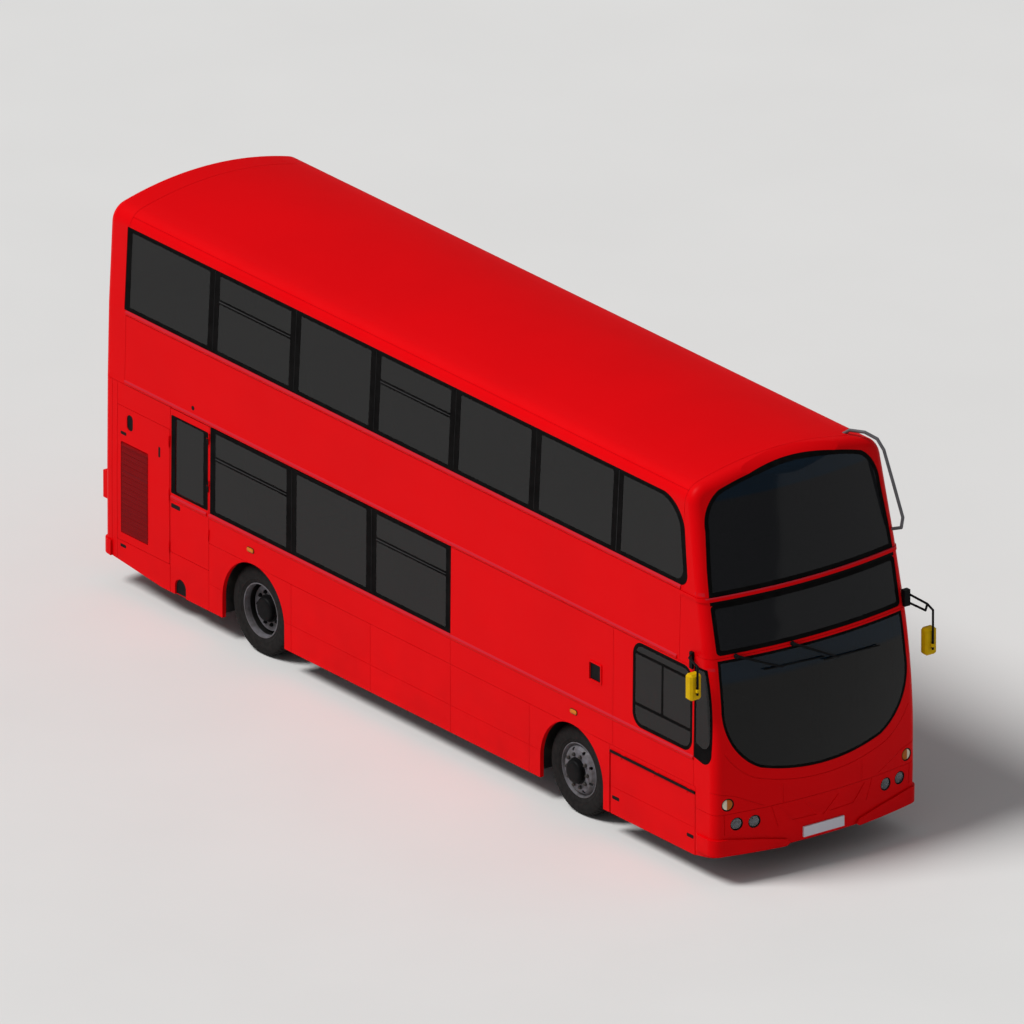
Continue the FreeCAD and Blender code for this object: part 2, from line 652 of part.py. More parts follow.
def roof():
    half = PANEL_GAP / 2
    return [region(SHELL, REAR_JOINT_X + half, DOME_JOINT_X - half, -2000, 2000, CANTRAIL_Z + half, 5000)]


def front_dome():
    """Upper front moulding round the upper windscreen."""
    half = PANEL_GAP / 2
    dome = region(SHELL, DOME_JOINT_X + half, 5600, -2000, 2000, UPPER_JOINT + half, 5000)
    return [cut_by(dome, [windscreen_upper_outline(0), front_pane_outline(0, 1), front_pane_outline(0, -1)])]


def front_panels():
    """Destination panel between the decks and the lower front moulding round the windscreen."""
    half = PANEL_GAP / 2
    upper = region(SHELL, DOME_JOINT_X + half, 5600, -2000, 2000, DECK_JOINT + half, UPPER_JOINT - half)
    lower = region(SHELL, FRONT_JOINT_X + half, 5600, -2000, 2000, SKIRT_TOP + half, DESTINATION_JOINT - half)
    chin = region(SHELL, FRONT_SKIRT_X + half, 5600, -2000, 2000, BUMPER_TOP + half, SKIRT_TOP + half)
    upper = upper.cut(box(FRONT_JOINT_X - half, 5600, -2000, 2000, 0, DESTINATION_JOINT + half))
    rail = body_form(-10).cut(body_form(3))
    rail = region(rail, DOME_JOINT_X + half, 5600, -2000, 2000, 2990, UPPER_JOINT - half)
    upper = upper.cut(destination_outline(0)).fuse(rail).removeSplitter()
    windows = [windscreen_lower_outline(0), quarter_glass_outline(0, 1), quarter_glass_outline(0, -1)]
    lower = cut_by(lower, windows).fuse(chin).removeSplitter()
    return [upper, cut_by(lower, [windscreen_groove()] + moulding_lines() + lamp_recesses(MARKER_LAMPS))]


# Fine lines of the lower moulding's nearside half, as (y, z) ends
MOULDING_LINES = [[(500, 985), (500, 775)], [(1274, 1006), (1060, 955)], [(1060, 955), (720, 790)]]
FINE_LINE = 4.0


def moulding_lines():
    """Shallow lines from the bumper's top: one upright, one that runs out to the corner."""
    lines = []
    for sign in (-1, 1):
        for (ya, za), (yb, zb) in MOULDING_LINES:
            slip = FINE_LINE if ya == yb else 0
            points = [(ya, za), (ya - slip, za + FINE_LINE - slip), (yb - slip, zb + FINE_LINE - slip), (yb, zb)]
            lines.append(GROOVE_SKIN.common(prism([V(4700, sign * y, z) for y, z in points], V(900, 0, 0))))
    return lines


def windscreen_groove():
    """Line in the moulding a hand's breadth outside the windscreen's bow."""
    band = windscreen_lower_outline(-120).cut(windscreen_lower_outline(-120 + GROOVE_WIDTH))
    return GROOVE_SKIN.common(band).common(box(4700, 5600, -2000, 2000, 0, 1420))


# Pressed shapes of the bumper's nearside half as (y, z) corners, and lines round the headlamps as (y, z) ends
BUMPER_PRESSINGS = [[(235, 735), (540, 742), (385, 560), (85, 552)], [(-195, 712), (195, 712), (0, 532)]]
BUMPER_LINES = [[(1175, 775), (1165, 545)], [(640, 775), (560, 535)]]


def front_bumper():
    """Bumper moulding with its lamp recesses and pressed shapes, and a lip at each corner."""
    half = PANEL_GAP / 2
    bumper = region(SHELL, FRONT_SKIRT_X + half, 5600, -2000, 2000, SKIRT_Z, BUMPER_TOP - half).cut(skirt_rise())
    tools = []
    for sign in (-1, 1):
        for shape in BUMPER_PRESSINGS:
            tools.append(prism([V(4700, sign * y, z) for y, z in shape], V(900, 0, 0)))
        for (ya, za), (yb, zb) in BUMPER_LINES:
            points = [(ya, za), (ya - GROOVE_WIDTH, za), (yb - GROOVE_WIDTH, zb), (yb, zb)]
            tools.append(prism([V(4700, sign * y, z) for y, z in points], V(900, 0, 0)))
    for tool in tools:
        bumper = bumper.cut(GROOVE_SKIN.common(tool))
    bumper = cut_by(bumper, lamp_recesses(HEADLAMPS))
    return [fused(bumper, both_sides(corner_lip()))]


def corner_lip():
    """Lip under the bumper's nearside corner: rounded where it ends near the middle, tapered along the side."""
    lip = body_form(-22).cut(body_form(WALL - 10)).common(box(4700, 5600, 0, 2000, 0, 600))
    front_view = [V(4700, 420, 330), V(4700, 445, 308), V(4700, 490, 300), V(4700, 1400, 330), V(4700, 1400, 500),
                  V(4700, 1150, 500), V(4700, 760, 440), V(4700, 455, 372)]
    plan = [V(4835, 1230, 0), V(4835, HALF_WIDTH + 1, 0), V(5030, 1400, 0), V(5400, 1400, 0),
            V(5400, 400, 0), V(4900, 400, 0), V(4900, 1230, 0)]
    return lip.common(prism(front_view, V(900, 0, 0), (1,))).common(prism(plan, V(0, 0, 700)))


def rear_panels():
    """Rear moulding in two tiers: the engine cover's opening and lamp housings, and the rear window."""
    half = PANEL_GAP / 2
    lower = region(SHELL, -5400, REAR_SKIRT_X - half, -2000, 2000, REAR_BUMPER_TOP + half, DECK_JOINT - half)
    lower = lower.cut(end_prism(*ENGINE_COVER, -5600, -5000))
    for housing in both_sides(lamp_housing()):
        lower = lower.fuse(housing)
    lower = fused(cut_by(lower, lamp_seats()), fixed_halves("engine_cover"))
    upper = region(SHELL, -5400, REAR_JOINT_X - half, -2000, 2000, DECK_JOINT + half, 5000)
    upper = upper.cut(rear_window_outline(0))
    for sign in (-1, 1):
        x0, x1, _ = UPPER_BAYS[0]
        upper = upper.cut(side_prism(x0, x1, UPPER_SILL, UPPER_HEAD, 1, *side_span(sign)))
    return [lower, upper]


REAR_LAMP_Y = 1135.0
# Rear lamps: height of the centre, radius
REAR_LAMPS = [(1140.0, 40.0), (1050.0, 40.0), (960.0, 40.0)]


def lamp_housing():
    """Raised pod for the nearside rear lamps."""
    pod = box(-5305, -5190, 1065, 1235, 900, 1200)
    pod = pod.makeFillet(24, [e for e in pod.Edges if e.BoundBox.XMax < -5304])
    return pod.cut(body_form(WALL - 10))


def rear_lamp_bodies(x, length):
    """A short cylinder at each rear lamp, from x forwards."""
    places = [(radius, V(x, sign * REAR_LAMP_Y, z)) for z, radius in REAR_LAMPS for sign in (-1, 1)]
    return [cylinder(radius, length, place, V(1, 0, 0)) for radius, place in places]


def lamp_seats():
    return rear_lamp_bodies(-5305, 12)


def rear_bumper():
    bumper = body_form(-22).cut(body_form(WALL))
    half = PANEL_GAP / 2
    bumper = region(bumper, -5400, REAR_SKIRT_X - half, -2000, 2000, SKIRT_Z, REAR_BUMPER_TOP - half)
    return [bumper.cut(skirt_rise())]


# ---------- glazing nodes ----------

def ring_between(outline, width, *args):
    """Black border inside an outline, a little smaller than the hole it sits in."""
    return FRAME.common(outline(1.5, *args)).cut(outline(width, *args))


def window_frames():
    """Black rings of all fixed windows, and the posts behind the side ones."""
    frames = window_posts()
    for sign in (-1, 1):
        frames += bay_rings(sign, lower_bays(sign), LOWER_SILL, LOWER_HEAD)[0]
        frames += bay_rings(sign, UPPER_BAYS, UPPER_SILL, UPPER_HEAD)[0]
        front_ring = FRAME.common(front_pane_outline(FRAME_SEAM / 2, sign))
        front_ring = front_ring.cut(front_pane_outline(FRAME_WIDTH, sign))
        frames += [front_ring, ring_between(quarter_glass_outline, QUARTER_BORDER, sign)]
    frames.append(cut_by(FRAME.common(cab_window(1.5)), cab_panes()))
    frames.append(ring_between(windscreen_upper_outline, SCREEN_BORDER))
    frames.append(ring_between(windscreen_lower_outline, LOWER_SCREEN_BORDER))
    frames.append(ring_between(destination_outline, SCREEN_BORDER))
    frames.append(ring_between(rear_window_outline, SCREEN_BORDER))
    return frames


def side_glass():
    panes = []
    for sign in (-1, 1):
        panes += bay_rings(sign, lower_bays(sign), LOWER_SILL, LOWER_HEAD)[1]
        panes += bay_rings(sign, UPPER_BAYS, UPPER_SILL, UPPER_HEAD)[1]
        panes.append(GLASS.common(front_pane_outline(FRAME_WIDTH, sign)))
        panes.append(GLASS.common(quarter_glass_outline(QUARTER_BORDER, sign)))
    panes += [GLASS.common(pane) for pane in cab_panes()]
    panes.append(GLASS.common(rear_window_outline(SCREEN_BORDER)))
    return panes


# ---------- doors and lids ----------

def emergency_door():
    """Plug of the offside wall with its own window, belt rail and hinges."""
    x0, x1, _, _, _ = EMERGENCY_DOOR
    leaf = SHELL.common(side_prism(*grown(EMERGENCY_DOOR, -GAP), *side_span(-1)))
    leaf = fused(leaf, [rub_rail(-1, x0 + 20, x1 - 38, BELT_RAIL_Z)] + moving_halves("emergency_door"))
    hole = side_prism(x0 + 92, x1 - 76, LOWER_SILL + 42, 2180, PANE_RADIUS, *side_span(-1))
    handle = side_pocket(-4050, -3910, 1195, 1228, 10, 14)
    return [leaf.cut(hole).cut(handle)], [GLASS.common(hole)]


GRILLE = (-4930.0, -4460.0, 635.0, 1640.0)
GRILLE_SLATS = 16


def engine_side_door():
    """Lid over the side of the engine bay, with a louvred air intake."""
    leaf = SHELL.common(side_prism(*grown(ENGINE_SIDE_DOOR, -GAP), *side_span(-1)))
    leaf = fused(leaf, moving_halves("engine_side_door"))
    x0, x1, z0, z1 = GRILLE
    leaf = leaf.cut(side_prism(x0, x1, z0, z1, 16, *side_span(-1)))
    pitch = (z1 - z0) / GRILLE_SLATS
    for k in range(GRILLE_SLATS):
        z = z0 + (k + 0.5) * pitch
        section = [(-1266, z - 22), (-1242, z + 8), (-1242, z + 14), (-1266, z - 16)]
        slat = [V(x0 - 2, y, height) for y, height in section]
        leaf = leaf.fuse(prism(slat, V(x1 - x0 + 4, 0, 0)))
    pockets = [side_pocket(-4830, -4725, 1790, 1965, 50, 16), side_pocket(-4276, -4262, 1670, 1775, 6, 10),
               side_pocket(-4930, -4840, 1724, 1746, 8, 8)]
    return [cut_by(leaf.removeSplitter(), pockets)]


COVER_SLOTS = 7


def engine_cover():
    """Top-hung lid over the rear of the engine bay, with two columns of air slots."""
    y0, y1, z0, z1, radius = ENGINE_COVER
    leaf = SHELL.common(end_prism(y0 + GAP, y1 - GAP, z0 + GAP, z1 - LEAF_GAP, radius, -5600, -5000))
    leaf = fused(leaf, moving_halves("engine_cover"))
    slots = [end_prism(ya, ya + 640, z0 + 150 + 75 * k, z0 + 175 + 75 * k, 10, -5600, -5000)
             for ya in (-700, 60) for k in range(COVER_SLOTS)]
    return [cut_by(leaf, slots)]


def skirt_flap():
    """Top-hung flap of the offside skirt beside the cab, under a dark slot."""
    x0, x1, _, z1, _ = SKIRT_FLAP
    leaf = region(SHELL, x0 + GAP, x1 - GAP, *side_span(-1), SKIRT_Z, z1 - FLAP_SLOT)
    leaf = fused(leaf, moving_halves("skirt_flap"))
    latches = [side_pocket(3430, 3540, 424, 446, 8, 8), side_pocket(4680, 4780, 424, 446, 8, 8)]
    return [cut_by(leaf, latches + [skirt_line(-1)])]


def entrance_spans():
    """First and last x of the rear and the front leaf."""
    x0, x1, _, _, _ = ENTRANCE
    middle = (x0 + x1) / 2
    return [(x0 + LEAF_GAP, middle - LEAF_GAP / 2), (middle + LEAF_GAP / 2, x1 - LEAF_GAP)]


def entrance_pivots(radius):
    """Pins at the head and foot of each leaf, near its outer edge."""
    _, _, z0, z1, _ = ENTRANCE
    (rear_x, _), (_, front_x1) = entrance_spans()
    pins = []
    for x in (rear_x + PIVOT_INSET, front_x1 - PIVOT_INSET):
        pins.append(cylinder(radius, 60, V(x, PIVOT_Y, z0 - 30), V(0, 0, 1)))
        pins.append(cylinder(radius, 60, V(x, PIVOT_Y, z1 - 38), V(0, 0, 1)))
    return pins


def entrance_leaf(index):
    """One door leaf: a slim frame nearly filled with glass; index 0 is the rear leaf."""
    _, _, z0, z1, _ = ENTRANCE
    a0, a1 = entrance_spans()[index]
    leaf = SHELL.common(side_prism(a0, a1, z0 + 8, z1 - 8, 12, *side_span(1)))
    leaf = leaf.common(box(a0, a1, 700, 1300, z0, z1))
    hole = side_prism(a0 + 55, a1 - 55, z0 + 90, z1 - 90, 45, *side_span(1))
    pins = entrance_pivots(PIVOT_RADIUS)[2 * index:2 * index + 2]
    return [fused(leaf.cut(hole), pins)], [GLASS.common(hole)]


# ---------- inside ----------

def wheel_box(axle_x, half_length, slot_half, slot_top):
    """Box over a nearside wheel, open below and towards the arch, slotted where the axle passes."""
    inner = WHEEL_BOX_Y
    low = LOWER_FLOOR_Z - FLOOR_THICK
    outer = box(axle_x - half_length - BOX_SKIN, axle_x + half_length + BOX_SKIN, inner - BOX_SKIN, 1225, low,
                WHEEL_BOX_TOP + BOX_SKIN)
    hollow = outer.cut(box(axle_x - half_length, axle_x + half_length, inner, 1300, 0, WHEEL_BOX_TOP))
    return hollow.cut(box(axle_x - slot_half, axle_x + slot_half, inner - 50, inner + 5, 0, slot_top))


def wheel_boxes():
    return both_sides(wheel_box(FRONT_AXLE_X, FRONT_BOX_HALF, 60, 330)) + \
        both_sides(wheel_box(REAR_AXLE_X, REAR_BOX_HALF, 82, 440))


def lower_floor():
    """Floor of the lower deck, level to the rear ramp, with the bulkhead in front of the engine bay."""
    low, high = LOWER_FLOOR_Z, REAR_FLOOR_Z
    top = [(4940, low), (RAMP_X[0], low), (RAMP_X[1], high), (BULKHEAD_X, high)]
    side = top + [(x, z - FLOOR_THICK) for x, z in reversed(top)]
    deck = prism([V(x, -1228, z) for x, z in side], V(0, 2456, 0))
    wall = box(BULKHEAD_X - 25, BULKHEAD_X, -1228, 1228, high - FLOOR_THICK, UPPER_FLOOR_Z - UPPER_FLOOR_THICK)
    deck = deck.fuse(wall).common(body_form(WALL + 2)).removeSplitter()
    for axle_x, half_length in ((FRONT_AXLE_X, FRONT_BOX_HALF), (REAR_AXLE_X, REAR_BOX_HALF)):
        for y0, y1 in ((WHEEL_BOX_Y - BOX_SKIN, 1300), (-1300, BOX_SKIN - WHEEL_BOX_Y)):
            reach = half_length + BOX_SKIN
            deck = deck.cut(box(axle_x - reach, axle_x + reach, y0, y1, 0, 2000))
    return [deck]


# Stair well in the upper floor: x0, x1, y0, y1
STAIR_WELL = (1500.0, 3330.0, -1215.0, -600.0)
STAIR_STEPS = 9
STAIR_START_X = 950.0
STAIR_GOING = 255.0


def upper_floor():
    deck = box(-5185, 4950, -1300, 1300, UPPER_FLOOR_Z - UPPER_FLOOR_THICK, UPPER_FLOOR_Z)
    deck = deck.common(body_form(WALL + 1))
    return [deck.cut(box(*STAIR_WELL, 2000, 3000))]


def staircase():
    """Straight flight along the offside, rising forwards."""
    rise = (UPPER_FLOOR_Z - LOWER_FLOOR_Z) / STAIR_STEPS
    profile = [(STAIR_START_X, LOWER_FLOOR_Z)]
    for step in range(STAIR_STEPS - 1):
        x = STAIR_START_X + step * STAIR_GOING
        profile += [(x, LOWER_FLOOR_Z + (step + 1) * rise), (x + STAIR_GOING, LOWER_FLOOR_Z + (step + 1) * rise)]
    end_x, top = profile[-1]
    profile += [(end_x, top - 60), (end_x - 60, top - 60), (STAIR_START_X + 60, LOWER_FLOOR_Z)]
    return [prism([V(x, -1205, z) for x, z in profile], V(0, 595, 0))]


def seat(x, y_centre, floor_z, width=880.0):
    """Seat facing forwards: plinth, cushion and raked back in one closed form."""
    side = [(-200, 0), (130, 0), (150, 330), (230, 345), (230, 450), (-190, 430), (-290, 1050), (-370, 1050),
            (-265, 330)]
    return prism([V(x + dx, y_centre - width / 2, floor_z + dz) for dx, dz in side], V(0, width, 0))


def lower_seats():
    """Rows on the level floor, a pair on each rear wheel box and one behind it on the nearside."""
    seats = [seat(LOWER_ROWS_X + row * SEAT_PITCH, SEAT_Y, LOWER_FLOOR_Z) for row in range(5)]
    seats += [seat(LOWER_ROWS_X + row * SEAT_PITCH, -SEAT_Y, LOWER_FLOOR_Z) for row in range(3)]
    seats += [seat(REAR_AXLE_X + 60, sign * SEAT_Y, WHEEL_BOX_TOP + BOX_SKIN) for sign in (-1, 1)]
    seats.append(seat(-3690, SEAT_Y, REAR_FLOOR_Z))
    return seats


def upper_seats():
    """Rows on both sides of the aisle, with none beside the stair well."""
    seats = []
    for row in range(12):
        x = UPPER_ROWS_X + row * SEAT_PITCH
        seats.append(seat(x, SEAT_Y, UPPER_FLOOR_Z))
        if x < STAIR_WELL[0] - 300 or x > STAIR_WELL[1] + 370:
            seats.append(seat(x, -SEAT_Y, UPPER_FLOOR_Z))
    return seats


def driver_seat():
    return [seat(3960, DRIVER_Y, CAB_FLOOR_Z, 500)]


def cab_fittings():
    """Raised cab floor with the dashboard, the screen behind the driver and the blind box."""
    plinth = box(3560, 4800, -1215, -330, LOWER_FLOOR_Z, CAB_FLOOR_Z)
    side = [(4560, 1080), (4560, 930), (4700, 700), (4700, 520), (4800, 520), (4960, 900), (4960, 1120)]
    dash = prism([V(x, -1190, z) for x, z in side], V(0, 2380, 0))
    dash = dash.common(body_form(WALL + 2)).cut(box(4000, 5300, 330, 1300, 0, 2000))
    screen = box(3500, 3530, -1215, -330, LOWER_FLOOR_Z, 2200)
    blind_box = box(4640, 4890, -860, 860, UPPER_FLOOR_Z, 2960).cut(box(4665, 5000, -835, 835, 2425, 2935))
    column = cylinder(28, 330, STEERING_CENTRE - STEERING_AXIS * 375, STEERING_AXIS)
    return [plinth.fuse(dash).fuse(column).removeSplitter(), screen, blind_box]


def steering_wheel():
    """Rim of flat facets on three spokes."""
    turn = FreeCAD.Rotation(V(0, 0, 1), STEERING_AXIS)
    angles = [math.radians(a) for a in range(0, 360, 60)]
    section = [V(225 + 16 * math.cos(a), 0, 16 * math.sin(a)) for a in angles]
    rim = Part.Face(wire(section)).revolve(V(0, 0, 0), V(0, 0, 1), 360)
    shape = rim.fuse(cylinder(50, 40, V(0, 0, -40), V(0, 0, 1)))
    for angle in (90, 210, 330):
        spoke = box(30, 225, -14, 14, -10, -2)
        spoke.rotate(V(0, 0, 0), V(0, 0, 1), angle)
        shape = shape.fuse(spoke)
    shape = shape.removeSplitter()
    shape.Placement = FreeCAD.Placement(STEERING_CENTRE, turn)
    return [shape]


# ---------- chassis ----------

def chassis_frame():
    """Two side rails, kicked up under the ramp, with cross members and a towing eye at the front."""
    floor_low = LOWER_FLOOR_Z - FLOOR_THICK
    floor_high = REAR_FLOOR_Z - FLOOR_THICK
    top = [(4900, floor_low), (RAMP_X[0], floor_low), (RAMP_X[1], floor_high), (-5150, floor_high)]
    bottom = [(x - (0 if x in (4900, -5150) else 17), z - RAIL_DEPTH) for x, z in reversed(top)]
    frame = None
    for y in (RAIL_Y, -RAIL_Y - RAIL_THICK):
        rail = prism([V(x, y, z) for x, z in top + bottom], V(0, RAIL_THICK, 0))
        frame = rail if frame is None else frame.fuse(rail)
    for x in (-1440, -540, 360, 1260, 2160, 3260, 4820):
        frame = frame.fuse(box(x, x + 80, -RAIL_Y, RAIL_Y, floor_low - RAIL_DEPTH, floor_low))
    for x in (-5140, -3900, -3100, -2310):
        frame = frame.fuse(box(x, x + 80, -RAIL_Y, RAIL_Y, floor_high - RAIL_DEPTH, floor_high))
    lug = box(4890, TOW_EYE_X + 45, -45, 45, floor_low - RAIL_DEPTH, floor_low)
    lug = lug.cut(cylinder(TOW_EYE_RADIUS, 200, V(TOW_EYE_X, 0, 200), V(0, 0, 1)))
    return [frame.fuse(lug).removeSplitter()]


def front_axle():
    """Dropped beam with an eye for the kingpin at each end."""
    x0, width = FRONT_AXLE_X - 45, 90
    low = LOWER_FLOOR_Z - FLOOR_THICK - RAIL_DEPTH
    beam = box(x0, x0 + width, -600, 600, low - BEAM_DEPTH, low)
    for sign in (-1, 1):
        arm = [(600, low - BEAM_DEPTH), (820, EYE_Z), (KINGPIN_Y, EYE_Z), (KINGPIN_Y, EYE_Z + EYE_HEIGHT),
               (820, EYE_Z + EYE_HEIGHT), (560, low)]
        beam = beam.fuse(prism([V(x0, sign * y, z) for y, z in arm], V(width, 0, 0)))
        beam = beam.fuse(cylinder(58, EYE_HEIGHT, V(FRONT_AXLE_X, sign * KINGPIN_Y, EYE_Z), V(0, 0, 1)))
    for sign in (-1, 1):
        beam = beam.cut(cylinder(KINGPIN_RADIUS + 0.05, 400, V(FRONT_AXLE_X, sign * KINGPIN_Y, 300), V(0, 0, 1)))
    return [beam.removeSplitter()]


def knuckle(sign):
    """Fork round the axle's eye, with the kingpin, the stub that carries the hub and the steering arm."""
    x = FRONT_AXLE_X
    y = sign * KINGPIN_Y
    shape = cylinder(KINGPIN_RADIUS, 225, V(x, y, 365), V(0, 0, 1))
    low, high = sorted((y, y + sign * 95))
    for z in (365, 540):
        shape = shape.fuse(cylinder(50, 50, V(x, y, z), V(0, 0, 1)))
        shape = shape.fuse(box(x - 45, x + 45, low, high, z, z + 50))
    low, high = sorted((y + sign * 65, y + sign * 95))
    shape = shape.fuse(box(x - 60, x + 60, low, high, 365, 590))
    stub = cylinder(STUB_RADIUS, 160, V(x, y + sign * 90, TYRE_RADIUS), V(0, sign, 0))
    low, high = sorted((y, y + sign * 25))
    return [shape.fuse(stub).fuse(box(x - 260, x - 40, low, high, 365, 400)).removeSplitter()]


def rear_axle():
    """Portal axle: a low tube with the final drive, and a casting with a spindle at each end."""
    shape = cylinder(72, 1160, V(REAR_AXLE_X, -580, PORTAL_Z), V(0, 1, 0))
    shape = shape.fuse(Part.makeSphere(138, V(REAR_AXLE_X, -210, PORTAL_Z)))
    start, end = V(-4247, -210, PORTAL_Z + 58), V(REAR_AXLE_X - 100, -210, PORTAL_Z)
    shape = shape.fuse(cylinder(38, (end - start).Length, start, end - start))
    for sign in (-1, 1):
        span = sorted((sign * 567, sign * 655))
        casting = side_prism(REAR_AXLE_X - 95, REAR_AXLE_X + 95, PORTAL_Z - 90, TYRE_RADIUS + 95, 90, *span)
        shape = shape.fuse(casting)
        shape = shape.fuse(cylinder(SPINDLE_RADIUS, 440, V(REAR_AXLE_X, sign * 570, TYRE_RADIUS), V(0, sign, 0)))
    return [shape.removeSplitter()]


def engine():
    """Plain block between the rails."""
    return [box(-5050, -4250, -RAIL_Y, RAIL_Y, 380, 1250)]


# ---------- wheels ----------

def turned(pairs, axle_x, y_centre, sign):
    """Turn a closed outline of (radius, outward) pairs about the axle."""
    points = [V(axle_x + r, y_centre + sign * out, TYRE_RADIUS) for r, out in pairs]
    return Part.Face(wire(points)).revolve(V(axle_x, y_centre, TYRE_RADIUS), V(0, 1, 0), 360)


def tyre(axle_x, y_centre):
    """Low-profile bus tyre: beads on the rim, bulged sidewalls, flat tread."""
    half = TYRE_WIDTH / 2
    pairs = [(RIM_RADIUS, -95), (RIM_RADIUS + 12, -118), (RIM_RADIUS + 70, -half + 3), (RIM_RADIUS + 110, -half),
             (TYRE_RADIUS - 22, -half + 14), (TYRE_RADIUS - 4, -half + 34), (TYRE_RADIUS, -50), (TYRE_RADIUS, 50),
             (TYRE_RADIUS - 4, half - 34), (TYRE_RADIUS - 22, half - 14), (RIM_RADIUS + 110, half),
             (RIM_RADIUS + 70, half - 3), (RIM_RADIUS + 12, 118), (RIM_RADIUS, 95)]
    return turned(pairs, axle_x, y_centre, 1)


def front_rim(sign):
    """Rim whose disc bulges outwards, with the hub and its cap."""
    bore = STUB_RADIUS + 0.05
    pairs = [(RIM_RADIUS, -95), (RIM_RADIUS, 95), (RIM_RADIUS + 6, 118), (RIM_RADIUS - 4, 120),
             (RIM_RADIUS - 14, 100), (RIM_RADIUS - 22, 85), (225, 128), (190, 138), (125, 140), (118, 185),
             (95, 200), (0, 200), (0, 165), (bore, 165), (bore, 20), (95, 20), (110, 60), (118, 126), (190, 124),
             (215, 112), (RIM_RADIUS - 30, 60), (RIM_RADIUS - 12, 40), (RIM_RADIUS - 12, -85),
             (RIM_RADIUS - 6, -118), (RIM_RADIUS + 6, -118)]
    rim = turned(pairs, FRONT_AXLE_X, sign * WHEEL_Y, sign)
    return [hand_holes(rim, FRONT_AXLE_X, sign)]


def hand_holes(rim, axle_x, sign):
    """Round holes in a ring through the disc."""
    for k in range(HAND_HOLES):
        angle = 2 * math.pi * (k + 0.5) / HAND_HOLES
        centre = V(axle_x + HAND_HOLE_RING * math.cos(angle), sign * (WHEEL_Y - 200),
                   TYRE_RADIUS + HAND_HOLE_RING * math.sin(angle))
        rim = rim.cut(cylinder(HAND_HOLE_RADIUS, 500, centre, V(0, sign, 0)))
    return rim


def rear_rims(sign):
    """Two rims back to back on one hub; the outer disc is deeply dished."""
    outer_y = sign * WHEEL_Y
    rims = None
    for y_centre, face in ((outer_y, sign), (outer_y - sign * TWIN_SPACING, -sign)):
        pairs = [(RIM_RADIUS, -95), (RIM_RADIUS, 95), (RIM_RADIUS + 6, 118), (RIM_RADIUS - 6, 118),
                 (RIM_RADIUS - 14, 85), (RIM_RADIUS - 14, -60), (225, -135), (190, -148), (130, -148),
                 (130, -158.75), (200, -158.75), (240, -140), (RIM_RADIUS - 4, -100), (RIM_RADIUS + 6, -118)]
        rim = turned(pairs, REAR_AXLE_X, y_centre, face)
        rims = rim if rims is None else rims.fuse(rim)
    bore = SPINDLE_RADIUS + 0.05
    hub = [(bore, -250), (bore, -40), (0, -40), (0, 30), (85, 30), (105, 10), (110, -60), (131, -60), (131, -250)]
    rims = rims.fuse(turned(hub, REAR_AXLE_X, outer_y, sign))
    return [hand_holes(rims.removeSplitter(), REAR_AXLE_X, sign)]


# ---------- outside fittings ----------

# Mirror heads: centre and half size
MIRRORS = [(V(5020, -1450, 2192), V(45, 70, 140)), (V(5120, 1450, 2020), V(45, 70, 145))]
ARM_RADIUS = 12.0


def mirror_clamp(centre, half):
    """Place of the bar on the front of a head: its axis and the height of its clamp."""
    return V(centre.x + half.x + ARM_RADIUS + 3, centre.y, centre.z - 0.2 * half.z)


def mirror_heads():
    """Head with chamfered corners, glass side to the rear, and the clamp that grips the arm in front."""
    heads = []
    for centre, half in MIRRORS:
        head = box(centre.x - half.x, centre.x + half.x, centre.y - half.y, centre.y + half.y, centre.z - half.z,
                   centre.z + half.z)
        head = head.makeChamfer(22, [e for e in head.Edges if e.BoundBox.XMax > centre.x])
        low, high = centre - half + V(0, 9, 9), centre + half - V(0, 9, 9)
        head = head.cut(end_prism(low.y, high.y, low.z, high.z, 18, low.x - 1, low.x + 6))
        bar = mirror_clamp(centre, half)
        clamp = box(centre.x + half.x - 5, bar.x + ARM_RADIUS + 8, bar.y - 20, bar.y + 20, bar.z - 16, bar.z + 16)
        clamp = clamp.cut(cylinder(ARM_RADIUS + 0.05, 60, bar - V(0, 0, 30), V(0, 0, 1)))
        heads.append(head.fuse(clamp).removeSplitter())
    return heads


def mirror_arms():
    """Tube arms on blocks: a single one from the offside wall, a double one from the nearside corner."""
    off_foot, near_foot = [mirror_clamp(centre, half) for centre, half in MIRRORS]
    drop = V(0, 0, 50)
    off_block = box(4730, 4778, -1292, -1255, 2262, 2440)
    off_bends = [V(4755, -1285, 2410), V(4900, -1420, 2455), V(off_foot.x, off_foot.y, 2425)]
    off_arm = tube(off_bends + [off_foot - drop], ARM_RADIUS)
    near_block = box(4990, 5050, 1190, 1262, 2425, 2600)
    near_bends = [V(5020, 1235, 2560), V(5150, 1400, 2440), V(near_foot.x, near_foot.y, 2370)]
    near_arm = tube(near_bends + [near_foot - drop], ARM_RADIUS)
    brace = tube([V(5020, 1235, 2465), V(5140, 1385, 2370), V(5150, 1400, 2440)], ARM_RADIUS)
    arms = [off_block.fuse(off_arm), near_block.fuse(near_arm).fuse(brace)]
    return [arm.cut(OUTSIDE).removeSplitter() for arm in arms]


DEFLECTOR_PATH = [V(4420, 860, 4170), V(4500, 904, 4236), V(4620, 1004, 4228), V(4720, 1086, 4168),
                  V(4790, 1117, 4063), V(4862, 1184, 3708), V(4935, 1250, 3345), V(4925, 1238, 3235),
                  V(4790, 1170, 3190)]


def branch_deflector():
    """Bent tube that keeps branches off the nearside front corner of the upper deck."""
    return [max(tube(DEFLECTOR_PATH, 17).cut(OUTSIDE).Solids, key=lambda solid: solid.Volume)]


